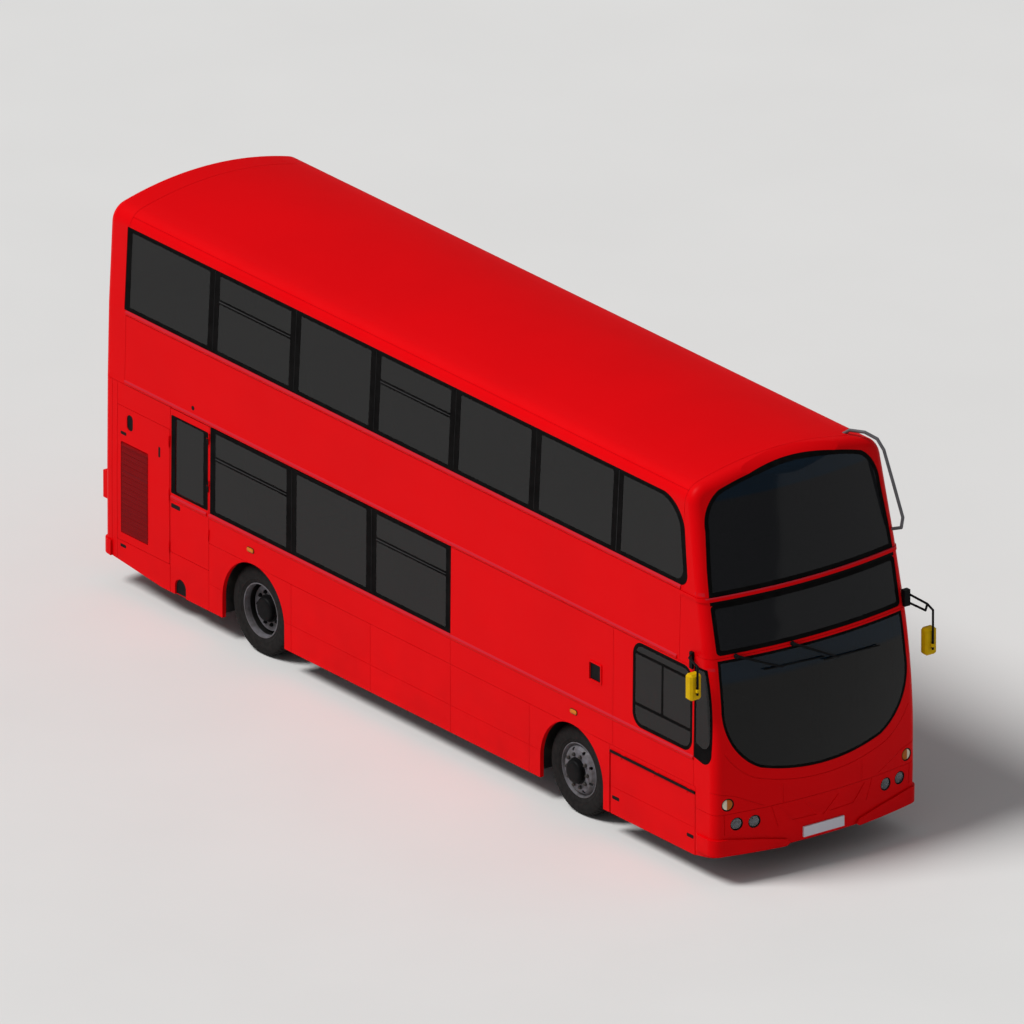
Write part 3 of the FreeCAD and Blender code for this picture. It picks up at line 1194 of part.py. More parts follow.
# Wipers: pivot, elbow, blade tip on each side, all as (y, z)
WIPERS = [((-960, 2420), (-460, 2215), (-670, 2225), (60, 2205)),
          ((-300, 2420), (225, 2165), (50, 2175), (785, 2140))]


def wipers():
    """Two arms that park along the top of the lower windscreen, with their pivots on the moulding."""
    pieces = []
    for pivot, elbow, tip, heel in WIPERS:
        spindle = cylinder(16, 60, off_front(*pivot, -30), V(1, 0, 0)).cut(OUTSIDE)
        arm = flat_bar(off_front(*pivot, 18), off_front(*elbow, 14), 20, 10)
        blade = flat_bar(off_front(*tip, 8), off_front(*heel, 8), 16, 12)
        pieces.append(fused(spindle, [arm, blade]))
    return pieces


def off_front(y, z, gap):
    """Point the given gap ahead of the raked front."""
    return V(front_x(y, z) + gap, y, z)


def flat_bar(a, b, depth, height):
    """Straight bar from a to b with an upright rectangular section, its back on the line."""
    section = [a, a + V(depth, 0, 0), a + V(depth, 0, height), a + V(0, 0, height)]
    return prism(section, b - a)


# Front lamps: y, z, lens radius
MARKER_LAMPS = [(1130.0, 873.0, 58.0)]
HEADLAMPS = [(1030.0, 650.0, 60.0), (830.0, 640.0, 60.0)]


def lamp_recesses(lamps):
    """Holes through the moulding, a little larger than the lenses."""
    places = [(radius, V(4850, sign * y, z)) for y, z, radius in lamps for sign in (-1, 1)]
    return [cylinder(radius + 11, 700, place, V(1, 0, 0)) for radius, place in places]


def front_lamps():
    """Each lamp: a round lens on a base plate that closes its recess."""
    lamps = []
    for y, z, radius in MARKER_LAMPS + HEADLAMPS:
        for sign in (-1, 1):
            lens = cylinder(radius, 300, V(5060, sign * y, z), V(1, 0, 0)).common(body_form(4))
            base = cylinder(radius + 10.7, 300, V(5060, sign * y, z), V(1, 0, 0)).common(body_form(25))
            lamps.append(lens.fuse(base).cut(body_form(40)).removeSplitter())
    return lamps


def rear_lamps():
    """Round lenses seated in the two pods."""
    return rear_lamp_bodies(-5309, 16)


def number_plates():
    """Blank plates, front and rear, bedded on the bumper and the rear moulding."""
    front = box(5255, 5284, -255, 255, 350, 460).cut(OUTSIDE)
    rear = box(-5260, -5245, -255, 255, 388, 490).cut(body_form(-22))
    return [max(plate.Solids, key=lambda s: s.Volume) for plate in (front, rear)]


def main():
    os.makedirs("parts", exist_ok=True)
    export("lower_side_panels", lower_side_panels())
    export("upper_side_panels", upper_side_panels())
    export("roof", roof())
    export("front_dome", front_dome())
    export("front_panels", front_panels())
    export("front_bumper", front_bumper())
    export("rear_panels", rear_panels())
    export("rear_bumper", rear_bumper())
    export("window_frames", window_frames())
    export("side_glass", side_glass())
    export("windscreen_upper", [GLASS.common(windscreen_upper_outline(SCREEN_BORDER))])
    export("windscreen_lower", [GLASS.common(windscreen_lower_outline(LOWER_SCREEN_BORDER))])
    export("destination_glass", [GLASS.common(destination_outline(SCREEN_BORDER))])
    door, pane = emergency_door()
    export("emergency_door", door)
    export("emergency_door_glass", pane)
    export("engine_side_door", engine_side_door())
    export("engine_cover", engine_cover())
    export("skirt_flap", skirt_flap())
    for index, name in enumerate(("entrance_door_rear", "entrance_door_front")):
        door, pane = entrance_leaf(index)
        export(name, door)
        export(name + "_glass", pane)
    export("lower_floor", lower_floor())
    export("wheel_boxes", wheel_boxes())
    export("upper_floor", upper_floor())
    export("staircase", staircase())
    export("lower_seats", lower_seats())
    export("upper_seats", upper_seats())
    export("driver_seat", driver_seat())
    export("cab_fittings", cab_fittings())
    export("steering_wheel", steering_wheel())
    export("chassis_frame", chassis_frame())
    export("front_axle", front_axle())
    export("rear_axle", rear_axle())
    export("engine", engine())
    for sign, side in ((1, "left"), (-1, "right")):
        export(f"front_{side}_knuckle", knuckle(sign))
        export(f"front_{side}_tyre", [tyre(FRONT_AXLE_X, sign * WHEEL_Y)])
        export(f"front_{side}_rim", front_rim(sign))
        twins = [tyre(REAR_AXLE_X, sign * y) for y in (WHEEL_Y, WHEEL_Y - TWIN_SPACING)]
        export(f"rear_{side}_tyres", twins)
        export(f"rear_{side}_rims", rear_rims(sign))
    export("mirror_heads", mirror_heads())
    export("mirror_arms", mirror_arms())
    export("branch_deflector", branch_deflector())
    export("wipers", wipers())
    export("front_lamps", front_lamps())
    export("rear_lamps", rear_lamps())
    export("number_plates", number_plates())


main()
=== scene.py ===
# %% [markdown]
# # A double decker bus, finished piece by piece
# The construction comes in as a frame of exact solids: every panel, pane, wheel and door of the bus. This lesson adds
# what an eye sees on the real vehicle: enamel, tinted glass, rubber, tread, lamps, cloth seats and small fittings.
# Each step says what the real piece is, how it could be made, and why it is made so. First the frame is measured,
# because nothing added later may change the size of the bus.

# %% Load the frame
import math

import bmesh
import bpy
import numpy as np
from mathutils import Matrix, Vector


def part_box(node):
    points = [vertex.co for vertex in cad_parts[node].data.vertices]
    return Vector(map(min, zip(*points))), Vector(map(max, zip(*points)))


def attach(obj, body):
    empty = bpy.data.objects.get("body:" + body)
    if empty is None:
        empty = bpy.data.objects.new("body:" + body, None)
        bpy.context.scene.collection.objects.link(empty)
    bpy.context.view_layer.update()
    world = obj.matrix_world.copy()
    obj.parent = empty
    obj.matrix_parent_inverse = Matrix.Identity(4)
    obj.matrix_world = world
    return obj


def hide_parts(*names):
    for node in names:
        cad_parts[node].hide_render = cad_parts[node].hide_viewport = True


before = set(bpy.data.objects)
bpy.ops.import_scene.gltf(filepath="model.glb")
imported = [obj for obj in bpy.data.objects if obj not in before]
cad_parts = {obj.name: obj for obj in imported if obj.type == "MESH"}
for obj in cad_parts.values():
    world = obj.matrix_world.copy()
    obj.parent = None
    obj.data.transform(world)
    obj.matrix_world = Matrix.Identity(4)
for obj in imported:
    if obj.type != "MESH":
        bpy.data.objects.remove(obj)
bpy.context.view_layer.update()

# %% [markdown]
# # Colour and one way to add a node
# Paint makers give colours as sRGB hex codes, but light is added up in linear numbers, so one function turns the
# first into the second. Nodes could be placed with a function for each kind; one general function keeps every recipe
# readable: it adds a node, sets it, feeds its inputs and says what it drives. Numbers that are the same all over a
# surface go straight on the shader. Most coatings drift a little in colour over a soft grain: one recipe serves them.

# %% Colour and node helpers
def linear(hex_code):
    """Linear colour of an sRGB hex code: c / 12.92 below 0.04045, and ((c + 0.055) / 1.055) ** 2.4 above it."""
    c = np.array([int(hex_code[i:i + 2], 16) for i in (1, 3, 5)]) / 255.0
    return (*np.where(c <= 0.04045, c / 12.92, ((c + 0.055) / 1.055) ** 2.4), 1.0)


def finish(name, colour, roughness, **sockets):
    """A new finish: one shader with its plain values. Underscores in a socket's name stand for spaces."""
    made = bpy.data.materials.new(name)
    made.use_nodes = True
    shader = made.node_tree.nodes["Principled BSDF"]
    shader.inputs["Base Color"].default_value = linear(colour)
    shader.inputs["Roughness"].default_value = roughness
    for socket, value in sockets.items():
        shader.inputs[socket.replace("_", " ")].default_value = value
    return made


def add(made, kind, feeds=None, out=0, to=None, **settings):
    """Adds one node. feeds gives each input a value or another node's output; to names the shader socket it drives."""
    tree = made.node_tree
    node = tree.nodes.new("ShaderNode" + kind)
    for setting, value in settings.items():
        setattr(node, setting, value)
    for key, value in (feeds or {}).items():
        if isinstance(value, bpy.types.NodeSocket):
            tree.links.new(value, node.inputs[key])
        else:
            node.inputs[key].default_value = value
    if to:
        tree.links.new(node.outputs[out], tree.nodes["Principled BSDF"].inputs[to])
    return node.outputs[out]


def pattern(made, kind, size, out=0, **inputs):
    """A texture in the object's own space whose cells are about size metres across: its scale is 1 / size."""
    return add(made, kind, {"Vector": add(made, "TexCoord", out="Object"), "Scale": 1 / size, **inputs}, out)


def blotches(made, size, most=1.0, detail=3.0):
    """A soft random value from 0 to most, in blotches about size metres across."""
    return step(made, pattern(made, "TexNoise", size, Detail=detail), 0.35, 0.65, end=most)


def two_colours(made, share, a, b, to="Base Color"):
    """Colour a where share is 0 and b where it is 1, mixed between. Each is a hex code or another node's colour."""
    a, b = (linear(colour) if isinstance(colour, str) else colour for colour in (a, b))
    return add(made, "Mix", {0: share, 6: a, 7: b}, out=2, to=to, data_type="RGBA")


def relief(made, height, metres):
    """Lets a value raise the surface by up to the given metres."""
    return add(made, "Bump", {"Height": height, "Strength": 1.0, "Distance": metres}, to="Normal")


def axis_value(made, axis):
    """One coordinate of the surface point, in metres."""
    return add(made, "SeparateXYZ", {"Vector": add(made, "TexCoord", out="Object")}, out=axis)


def way_out(made):
    """How far the surface point is from the bus's middle plane, in metres: the size of y."""
    return add(made, "Math", {0: axis_value(made, 1)}, operation="ABSOLUTE")


def step(made, value, low=0.0, high=1.0, start=0.0, end=1.0, to=None):
    """start where the value is at low or beyond, end where it is at high or beyond, straight between."""
    return add(made, "MapRange", {"Value": value, "From Min": low, "From Max": high, "To Min": start, "To Max": end},
               to=to)


def mottled(name, colour, roughness, drift, grain, **sockets):
    """A finish that drifts between two colours, drift being (metres across, most, colour a, colour b), and whose
    surface is raised by a grain of (metres across, metres high)."""
    made = finish(name, colour, roughness, **sockets)
    size, most, a, b = drift
    two_colours(made, blotches(made, size, most), a, b)
    relief(made, blotches(made, grain[0]), grain[1])
    return made


print("red 216, 19, 28 in linear light:", [round(float(c), 3) for c in linear("#D8131C")[:3]])

# %% [markdown]
# # Coach enamel
# The body is sprayed with two-pack coach enamel and washed daily by brushes. One glossy colour would be too even: the
# film has an orange-peel ripple about 10 mm long, washing leaves it a little dull, and road film gathers low on the
# skirt. Noise in the object's own space gives all three, so the pattern runs on from panel to panel as spray does.
# Brushed enamel shines less than showroom paint, and the roof, which no brush reaches, is dullest; its red is also
# painted darker there, as shade. Trim is masked off and sprayed black, and the upward halves of the waist rails and the
# top edge of the front panel are painted a paler red, as highlight.

# %% Enamel, and the enamel of the air intake painted darker as shade
MASK_EDGE = 0.0003  # half the width of a masked edge, in metres
# Over these heights the roof turns dull, and its red is also painted darker, as shade.
ROOF_FROM = (4.10, 4.20)  # heights between which the roof's dullness comes in
# The waist rails take a painted highlight: a paler red on their upward-facing halves.
RAIL_BANDS = [(1.294, 1.326), (2.294, 2.326), (3.050, 3.086)]  # heights of the waist rails
RAIL_OUT, RAIL_UP = (1.19, 1.20), (0.06, 0.25)  # where the rails begin outwards, and how far up they have to face
# Limits in x, y and z. Black: the line over the destination glass and the hinge barrels of the emergency door and of
# the skirt flap. Painted highlight, a paler red: the top edge of the front panel.
BLACK_BOXES = [((4.80, 5.30), (-1.158, 1.158), (2.950, 2.985)),
               ((-3.455, -3.4115), (-1.300, -1.2785), (1.400, 2.262)),
               ((3.30, 4.90), (-1.300, -1.2803), (0.905, 0.934))]
HIGHLIGHT_BOXES = [((4.60, 5.30), (-1.200, 1.200), (3.019, 3.034))]


def within(made, value, low, high):
    """1 between low and high and 0 outside, from one step up less another."""
    up, down = (step(made, value, edge - MASK_EDGE, edge + MASK_EDGE) for edge in (low, high))
    return add(made, "Math", {0: up, 1: down}, operation="SUBTRACT")


def boxes_share(made, boxes):
    """1 inside any of the boxes, else 0: the three spans of a box are multiplied, and the boxes are added."""
    share = 0.0
    for spans in boxes:
        inside = 1.0
        for axis, (low, high) in enumerate(spans):
            span = within(made, axis_value(made, axis), low, high)
            inside = add(made, "Math", {0: inside, 1: span}, operation="MULTIPLY")
        share = add(made, "Math", {0: share, 1: inside}, operation="ADD")
    return share


def rail_highlight_share(made):
    """1 on the upward half of the waist rails, else 0: the surface faces up, lies outside 1.2 m from the middle, and
    its height is in one of the bands. A paler red is painted there as highlight."""
    facing_up = add(made, "SeparateXYZ", {"Vector": add(made, "TexCoord", out="Normal")}, out=2)
    share = 0.0
    for low, high in RAIL_BANDS:
        share = add(made, "Math", {0: share, 1: within(made, axis_value(made, 2), low, high)}, operation="ADD")
    for value, span in ((way_out(made), RAIL_OUT), (facing_up, RAIL_UP)):
        share = add(made, "Math", {0: share, 1: step(made, value, *span)}, operation="MULTIPLY")
    return share


def enamel(name, colour, shade, rail):
    """Sprayed enamel: colour drifts to shade in clouds 1.4 m wide and with road film low down, on the roof the red is
    painted darker as shade, the rails' upward halves take the paler colour rail as painted highlight, and the ripple is
    10 mm long and 0.04 mm high."""
    made = finish(name, colour, 0.38, IOR=1.45, Specular_IOR_Level=0.04)
    low_down = step(made, axis_value(made, 2), 1.1, 0.2)
    on_roof = step(made, axis_value(made, 2), *ROOF_FROM)
    film = add(made, "Math", {0: low_down, 1: blotches(made, 0.35, 0.5)}, operation="MULTIPLY")
    cloud = add(made, "Math", {0: film, 1: blotches(made, 1.4, 0.25)}, operation="ADD")
    # Painted shade: the roof's red drifts darker.
    cloud = add(made, "Math", {0: on_roof, 1: 0.45, 2: cloud}, operation="MULTIPLY_ADD")
    plain = two_colours(made, cloud, colour, shade, to=None)
    # Painted highlight: a paler red on the rails' upward halves and on the front panel's top edge.
    painted_highlight = add(made, "Math", {0: rail_highlight_share(made), 1: boxes_share(made, HIGHLIGHT_BOXES)}, operation="ADD")
    red = two_colours(made, painted_highlight, plain, rail, to=None)
    two_colours(made, boxes_share(made, BLACK_BOXES), red, "#0B0A0A")
    washed = step(made, blotches(made, 0.25), start=0.32, end=0.42)
    step(made, on_roof, start=washed, end=0.70, to="Roughness")
    relief(made, blotches(made, 0.010), 0.00004)
    return made


# The third colour is the paler red painted as highlight on the rails.
coach_enamel = enamel("coach_enamel_red", "#DB0209", "#C80309", "#BC2430")
# The air intake's enamel is painted a darker red, as shade in the recessed intake.
intake_shaded_enamel = enamel("intake_enamel_painted_shade", "#7C1014", "#5E0C10", "#7C1014")
print("finishes:", coach_enamel.name, intake_shaded_enamel.name)

# %% [markdown]
# # Glass
# Side windows are toughened glass tinted grey in the melt, so dark that the deck behind is only a hint. The
# windscreens are laminated, a little clearer, with a blue-black sun band along the top, and the upper one is darker.
# Clear glass with a dark colour gives the real thing: the tint acts on the light that passes, and the surface still
# mirrors the sky. A pane toughened on rollers keeps a wave about 300 mm long and some hundredths of a mm high.

# %% Tinted and laminated glass
def tinted_glass(name, colour, ior):
    """Clear glass whose colour is the tint, with the long low wave of the rollers in its surface."""
    made = finish(name, colour, 0.03, IOR=ior, Transmission_Weight=1.0, Specular_IOR_Level=0.12)
    relief(made, blotches(made, 0.3, detail=0.0), 0.00003)
    return made


side_tint = tinted_glass("toughened_glass_grey", "#2E2B2B", 1.33)
two_colours(side_tint, blotches(side_tint, 0.5, 0.6), "#2E2B2B", "#2A2826")

screen_tint = tinted_glass("laminated_windscreen", "#27282B", 1.30)
height = axis_value(screen_tint, 2)
SCREEN_TOP = float(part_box("windscreen_lower")[1][2]) + 0.002
LOWER_BAND_FROM, UPPER_BAND_FROM = (2.12, 2.17), (3.965, 3.985)
lower_band = step(screen_tint, height, *LOWER_BAND_FROM)
above_screen = step(screen_tint, height, SCREEN_TOP, SCREEN_TOP + 0.005)
upper_band = step(screen_tint, height, *UPPER_BAND_FROM)
below = add(screen_tint, "Math", {0: lower_band, 1: above_screen}, operation="SUBTRACT")
band = add(screen_tint, "Math", {0: below, 1: upper_band}, operation="ADD")
two_colours(screen_tint, band, "#27282B", "#0F2C40")
clear = step(screen_tint, above_screen, start=1.0, end=0.55)
step(screen_tint, band, start=clear, end=0.7, to="Transmission Weight")
print("glass:", side_tint.name, screen_tint.name)

# %% [markdown]
# # Rubber, moulded plastic and chassis black
# Window frames are EPDM rubber, dull and slightly chalky. Cab mouldings are ABS with a leather-like grain about 2 mm
# across, and outside fittings are polyamide. The chassis is sprayed with satin wax that collects dust. All are nearly
# black, so roughness and grain tell them apart, and that is where the recipes differ.

# %% Blacks
window_rubber = mottled("epdm_rubber_black", "#090808", 0.65, (0.12, 1.0, "#070606", "#0E0D0D"), (0.004, 0.0001),
                        IOR=1.5, Specular_IOR_Level=0.03)
chassis_wax = mottled("chassis_wax_black", "#18181A", 0.5, (0.15, 0.7, "#18181A", "#3A3631"), (0.02, 0.0006), IOR=1.48)
fitting_black = mottled("polyamide_black", "#0B0B0C", 0.5, (0.05, 0.6, "#0B0B0C", "#141415"), (0.0015, 0.00008),
                        IOR=1.53, Specular_IOR_Level=0.06)
cab_plastic = finish("abs_grained_charcoal", "#2B2B2E", 0.6, IOR=1.53)
two_colours(cab_plastic, blotches(cab_plastic, 0.3, 0.6), "#2B2B2E", "#35353A")
relief(cab_plastic, pattern(cab_plastic, "TexVoronoi", 0.002), 0.00015)
print("blacks:", window_rubber.name, cab_plastic.name, chassis_wax.name, fitting_black.name)

# %% [markdown]
# # Cast iron, wheel paint and tyre rubber
# Axles and knuckles are cast or forged iron under thin black paint, with a coarse skin of about 3 mm. Wheels are
# pressed steel with silver-grey paint that greys with brake dust, and the rear wheels' deep dish is painted black as
# shade.
# Tyre rubber is carbon black, grey where it is scuffed. The tread is modelled later; these recipes give the surface.

# %% Iron, wheel paint, tyre rubber
cast_iron = mottled("cast_iron_painted", "#2A2826", 0.62, (0.08, 1.0, "#242322", "#3B332C"), (0.003, 0.0005), IOR=1.6)
tyre_rubber = mottled("tyre_rubber", "#141212", 0.85, (0.05, 0.7, "#191717", "#252322"), (0.0025, 0.0002),
                      IOR=1.5, Specular_IOR_Level=0.12)


def wheel_enamel(name, shaded_within):
    """Silver-grey wheel paint, painted black as shade where the surface lies nearer the middle plane than the given
    depth.
    """
    made = finish(name, "#5C5A60", 0.5, Metallic=0.15, Specular_IOR_Level=0.2)
    grey = two_colours(made, blotches(made, 0.09), "#6A686E", "#555253", to=None)
    # Painted shade: black in the deep dish, nearer the middle plane than the given depth.
    two_colours(made, step(made, way_out(made), shaded_within - 0.004, shaded_within + 0.004), "#151413", grey)
    step(made, blotches(made, 0.04), start=0.44, end=0.66, to="Roughness")
    relief(made, blotches(made, 0.006), 0.0001)
    return made


wheel_paint = wheel_enamel("wheel_paint_silver_grey", 0.0)
# The rear wheels' paint is painted black as shade in their deep dish.
dish_shade_paint = wheel_enamel("wheel_paint_dish_painted_shade", 1.112)
print("running gear:", cast_iron.name, wheel_paint.name, dish_shade_paint.name, tyre_rubber.name)

# %% [markdown]
# # Yellow mirrors, grey tube, lamp plastics and plates
# Mirror heads are nylon in safety yellow, so that the driver's eye finds them. The branch deflector is powder-coated
# steel tube: a dry, pebbled film with grains of about 1.5 mm. Lamp lenses are clear, amber and red polycarbonate with
# moulded optics, drawn as ribs 6 to 12 mm apart. Number plates are retro-reflective sheet, white in front and yellow
# behind, left blank.

# %% Fittings' finishes
mirror_nylon = mottled("nylon_safety_yellow", "#D0A806", 0.5, (0.06, 0.6, "#D0A806", "#BD9506"), (0.0015, 0.0001),
                       IOR=1.53, Specular_IOR_Level=0.05)
powder_grey = mottled("powder_coat_grey", "#5A585C", 0.55, (0.1, 0.7, "#5A585C", "#4C4A4D"), (0.0015, 0.0001), IOR=1.5)


def lens_ribs(made, axis, pitch):
    """Half-round ribs across one axis, 0.6 mm high: the height is the size of sin(pi * x / pitch)."""
    turned_by = add(made, "Math", {0: axis_value(made, axis), 1: math.pi / pitch}, operation="MULTIPLY")
    wave = add(made, "Math", {0: turned_by}, operation="SINE")
    relief(made, add(made, "Math", {0: wave}, operation="ABSOLUTE"), 0.0006)


clear_lens = finish("polycarbonate_clear", "#A3A7AE", 0.06, IOR=1.58, Transmission_Weight=1.0, Specular_IOR_Level=0.3)
lens_ribs(clear_lens, 1, 0.012)
amber_lens = finish("polycarbonate_amber", "#D07604", 0.3, IOR=1.58, Specular_IOR_Level=0.15)
two_colours(amber_lens, blotches(amber_lens, 0.02, 0.6), "#D07604", "#B36004")
lens_ribs(amber_lens, 0, 0.006)

marker_lens = finish("polycarbonate_marker", "#E8D8B8", 0.3, IOR=1.58, Specular_IOR_Level=0.15)
two_colours(marker_lens, step(marker_lens, way_out(marker_lens), 1.136, 1.144), "#AE5C02", "#DCD3BC")
lens_ribs(marker_lens, 1, 0.008)

tail_lens = finish("polycarbonate_tail", "#A80A10", 0.18, IOR=1.58, Coat_Weight=0.5)
tail_height = axis_value(tail_lens, 2)
red_over_amber = two_colours(tail_lens, step(tail_lens, tail_height, 1.09, 1.10), "#E8860B", "#A80A10", to=None)
two_colours(tail_lens, step(tail_lens, tail_height, 1.00, 1.01), "#DAD8D2", red_over_amber)
lens_ribs(tail_lens, 2, 0.008)

lamp_silver = finish("vacuum_aluminium", "#8E9096", 0.22, Metallic=1.0)
step(lamp_silver, blotches(lamp_silver, 0.01), start=0.1, end=0.24, to="Roughness")

mirror_silver = finish("mirror_glass", "#C9CDD0", 0.03, Metallic=1.0)
step(mirror_silver, blotches(mirror_silver, 0.05), start=0.02, end=0.06, to="Roughness")

plate_sheet = finish("reflective_sheet", "#C9C8D2", 0.4, IOR=1.5)
two_colours(plate_sheet, step(plate_sheet, axis_value(plate_sheet, 0), -1.0, 1.0), "#D9B116", "#C9C8D2")
relief(plate_sheet, blotches(plate_sheet, 0.003), 0.00005)
print("fittings' finishes:", mirror_nylon.name, powder_grey.name, clear_lens.name, tail_lens.name, plate_sheet.name)

# %% [markdown]
# # Floor covering and moquette
# Bus floors are vinyl with carborundum and coloured chips pressed in, about 4 mm apart, so that wet shoes grip.
# Moquette is a cut-pile wool cloth woven in a small check.

# %% Vinyl and moquette
deck_vinyl = finish("safety_vinyl_grey", "#5C5F66", 0.7, IOR=1.5)
chip_share = add(deck_vinyl, "SeparateColor", {"Color": pattern(deck_vinyl, "TexVoronoi", 0.004, "Color")})
two_colours(deck_vinyl, step(deck_vinyl, chip_share, 0.7, 0.9), "#55585F", "#8C8F96")
relief(deck_vinyl, chip_share, 0.0002)

moquette = finish("wool_moquette", "#3A2E3E", 0.9, IOR=1.45, Sheen_Weight=0.35, Sheen_Roughness=0.4)
check = pattern(moquette, "TexChecker", 0.025, Color1=linear("#5C1420"), Color2=linear("#2B3040"))
loops = pattern(moquette, "TexVoronoi", 0.003)
two_colours(moquette, loops, check, "#14141A")
relief(moquette, loops, 0.0006)
print("inside:", deck_vinyl.name, moquette.name)

# %% [markdown]
# # Dress the frame
# Each solid of the frame keeps its exact shape and only takes its real finish. A table of finish and pieces is the
# simplest way, and it shows at a glance that nothing was left in bare grey.

# %% Finishes for the frame's own pieces
DRESS = [
    (coach_enamel, "lower_side_panels upper_side_panels roof front_dome front_panels front_bumper rear_panels "
                   "rear_bumper emergency_door engine_side_door engine_cover skirt_flap"),
    (side_tint, "side_glass emergency_door_glass entrance_door_rear_glass entrance_door_front_glass"),
    (screen_tint, "windscreen_upper windscreen_lower destination_glass"),
    (window_rubber, "window_frames entrance_door_rear entrance_door_front"),
    (deck_vinyl, "lower_floor upper_floor staircase"),
    (moquette, "lower_seats upper_seats driver_seat"),
    (cab_plastic, "cab_fittings steering_wheel"),
    (chassis_wax, "chassis_frame engine wheel_boxes"),
    (cast_iron, "front_axle rear_axle front_left_knuckle front_right_knuckle"),
    (tyre_rubber, "front_left_tyre front_right_tyre rear_left_tyres rear_right_tyres"),
    (wheel_paint, "front_left_rim front_right_rim"),
    (dish_shade_paint, "rear_left_rims rear_right_rims"),
    (mirror_nylon, "mirror_heads"),
    (fitting_black, "mirror_arms wipers"),
    (powder_grey, "branch_deflector"),
    (clear_lens, "front_lamps"),
    (tail_lens, "rear_lamps"),
    (plate_sheet, "number_plates"),
]
for made, names in DRESS:
    for name in names.split():
        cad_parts[name].data.materials.clear()
        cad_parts[name].data.materials.append(made)
print("dressed:", sum(len(names.split()) for _, names in DRESS), "of", len(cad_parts))

# %% [markdown]
# # Surfaces from numbers
# Everything added below is a surface worked out with arrays: a grid of points, or an outline carried along a line.
# Ready-made primitives would need moving and trimming by hand. A grid keeps the recipe: its rows and columns say how
# the piece is made, and the same few functions serve a tyre, a lamp, a nut or a cushion. All the skins of a piece go
# into one mesh, whose doubles are merged before its faces are turned outwards.

# %% Grid, piece and the outlines they are made from
def at(x, y, z):
    """Points from three arrays of coordinates, each spread out to the shape they have together."""
    return np.stack(np.broadcast_arrays(x, y, z), axis=-1)


def skin(points, around=True, along=False):
    """Quads over a grid of points. around joins the last column to the first, along joins the last row to the first."""
    index = np.arange(points.shape[0] * points.shape[1]).reshape(points.shape[:2])
    if around:
        index = np.concatenate([index, index[:, :1]], axis=1)
    if along:
        index = np.concatenate([index, index[:1]], axis=0)
    quads = np.stack([index[:-1, :-1], index[1:, :-1], index[1:, 1:], index[:-1, 1:]], axis=-1)
    return points.reshape(-1, 3), quads.reshape(-1, 4)


def capped(rings):
    """A skin over rings with both ends closed: one more ring at each end, drawn together to the middle of the last."""
    ends = [np.repeat(ring.mean(axis=0, keepdims=True), len(ring), axis=0)[None] for ring in (rings[0], rings[-1])]
    return skin(np.concatenate([ends[0], rings, ends[1]]))


def placed_mesh(name, points, quads, made):
    """An object at the origin with one finish, from points and quads."""
    mesh = bpy.data.meshes.new(name)
    mesh.from_pydata(points.tolist(), [], quads.tolist())
    mesh.materials.append(made)
    placed = bpy.data.objects.new(name, mesh)
    bpy.context.scene.collection.objects.link(placed)
    return placed


def piece(name, skins, made, body="bus_body", crease=35.0):
    """One object from many skins, riding on a body. Edges that turn by more than crease degrees stay sharp."""
    starts = np.cumsum([0] + [len(points) for points, _ in skins])[:-1]
    points = np.concatenate([points for points, _ in skins])
    quads = np.concatenate([quads + start for (_, quads), start in zip(skins, starts)])
    placed = placed_mesh(name, points, quads, made)
    mesh = placed.data
    form = bmesh.new()
    form.from_mesh(mesh)
    bmesh.ops.remove_doubles(form, verts=form.verts, dist=2e-6)
    bmesh.ops.recalc_face_normals(form, faces=form.faces)
    form.to_mesh(mesh)
    form.free()
    mesh.shade_smooth()
    mesh.set_sharp_from_angle(angle=math.radians(crease))
    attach(placed, body)
    return placed


def spun(profile, centre, axis, sides, closed=False):
    """A profile of (radius, way along the axis) pairs turned about an axis: centre + way * axis + radius * rim."""
    axis = np.array(axis, float)
    first = np.cross(axis, (0.0, 0.0, 1.0) if abs(axis[2]) < 0.9 else (1.0, 0.0, 0.0))
    first /= np.linalg.norm(first)
    angle = np.arange(sides) * 2 * np.pi / sides
    rim = np.cos(angle)[:, None] * first + np.sin(angle)[:, None] * np.cross(axis, first)
    radius, way = np.array(profile, float).T[:, :, None, None]
    return skin(np.array(centre) + way * axis + radius * rim, along=closed)


def rounded(half_a, half_b, radius, steps=5):
    """A rectangle's outline with round corners: a quarter circle about each corner's own centre, one after another."""
    corner = np.repeat(np.arange(4), steps)
    turn = (corner + np.tile(np.linspace(0.0, 1.0, steps), 4)) * np.pi / 2
    a = np.array([1, -1, -1, 1])[corner] * (half_a - radius) + radius * np.cos(turn)
    b = np.array([1, 1, -1, -1])[corner] * (half_b - radius) + radius * np.sin(turn)
    return np.stack([a, b], axis=-1)


def plate(place, half, radius, profile, steps=5):
    """A flat piece with round corners. place takes (a, b, way out) arrays to points in the bus. Each pair of profile
    gives how far the outline is drawn in and how far out it stands, from the back to the front, and both ends close."""
    rings = []
    for inset, way in profile:
        a, b = rounded(half[0] - inset, half[1] - inset, max(radius - inset, 0.0005), steps).T
        rings.append(place(a, b, way))
    return capped(rings)


def eased(points, steps=4):
    """A smooth line through points: between each two it is the cubic whose slopes are half the chord of their
    neighbours, so it passes through every point."""
    p = np.array(points, float)
    p = np.concatenate([2 * p[:1] - p[1:2], p, 2 * p[-1:] - p[-2:-1]])
    t = np.arange(steps)[None, :, None] / steps
    a, b, c, d = (p[i:len(p) - 3 + i, None] for i in range(4))
    line = 0.5 * (2 * b + (c - a) * t + (2 * a - 5 * b + 4 * c - d) * t ** 2 + (3 * b - a - 3 * c + d) * t ** 3)
    return np.concatenate([line.reshape(-1, 3), p[-2:-1]])


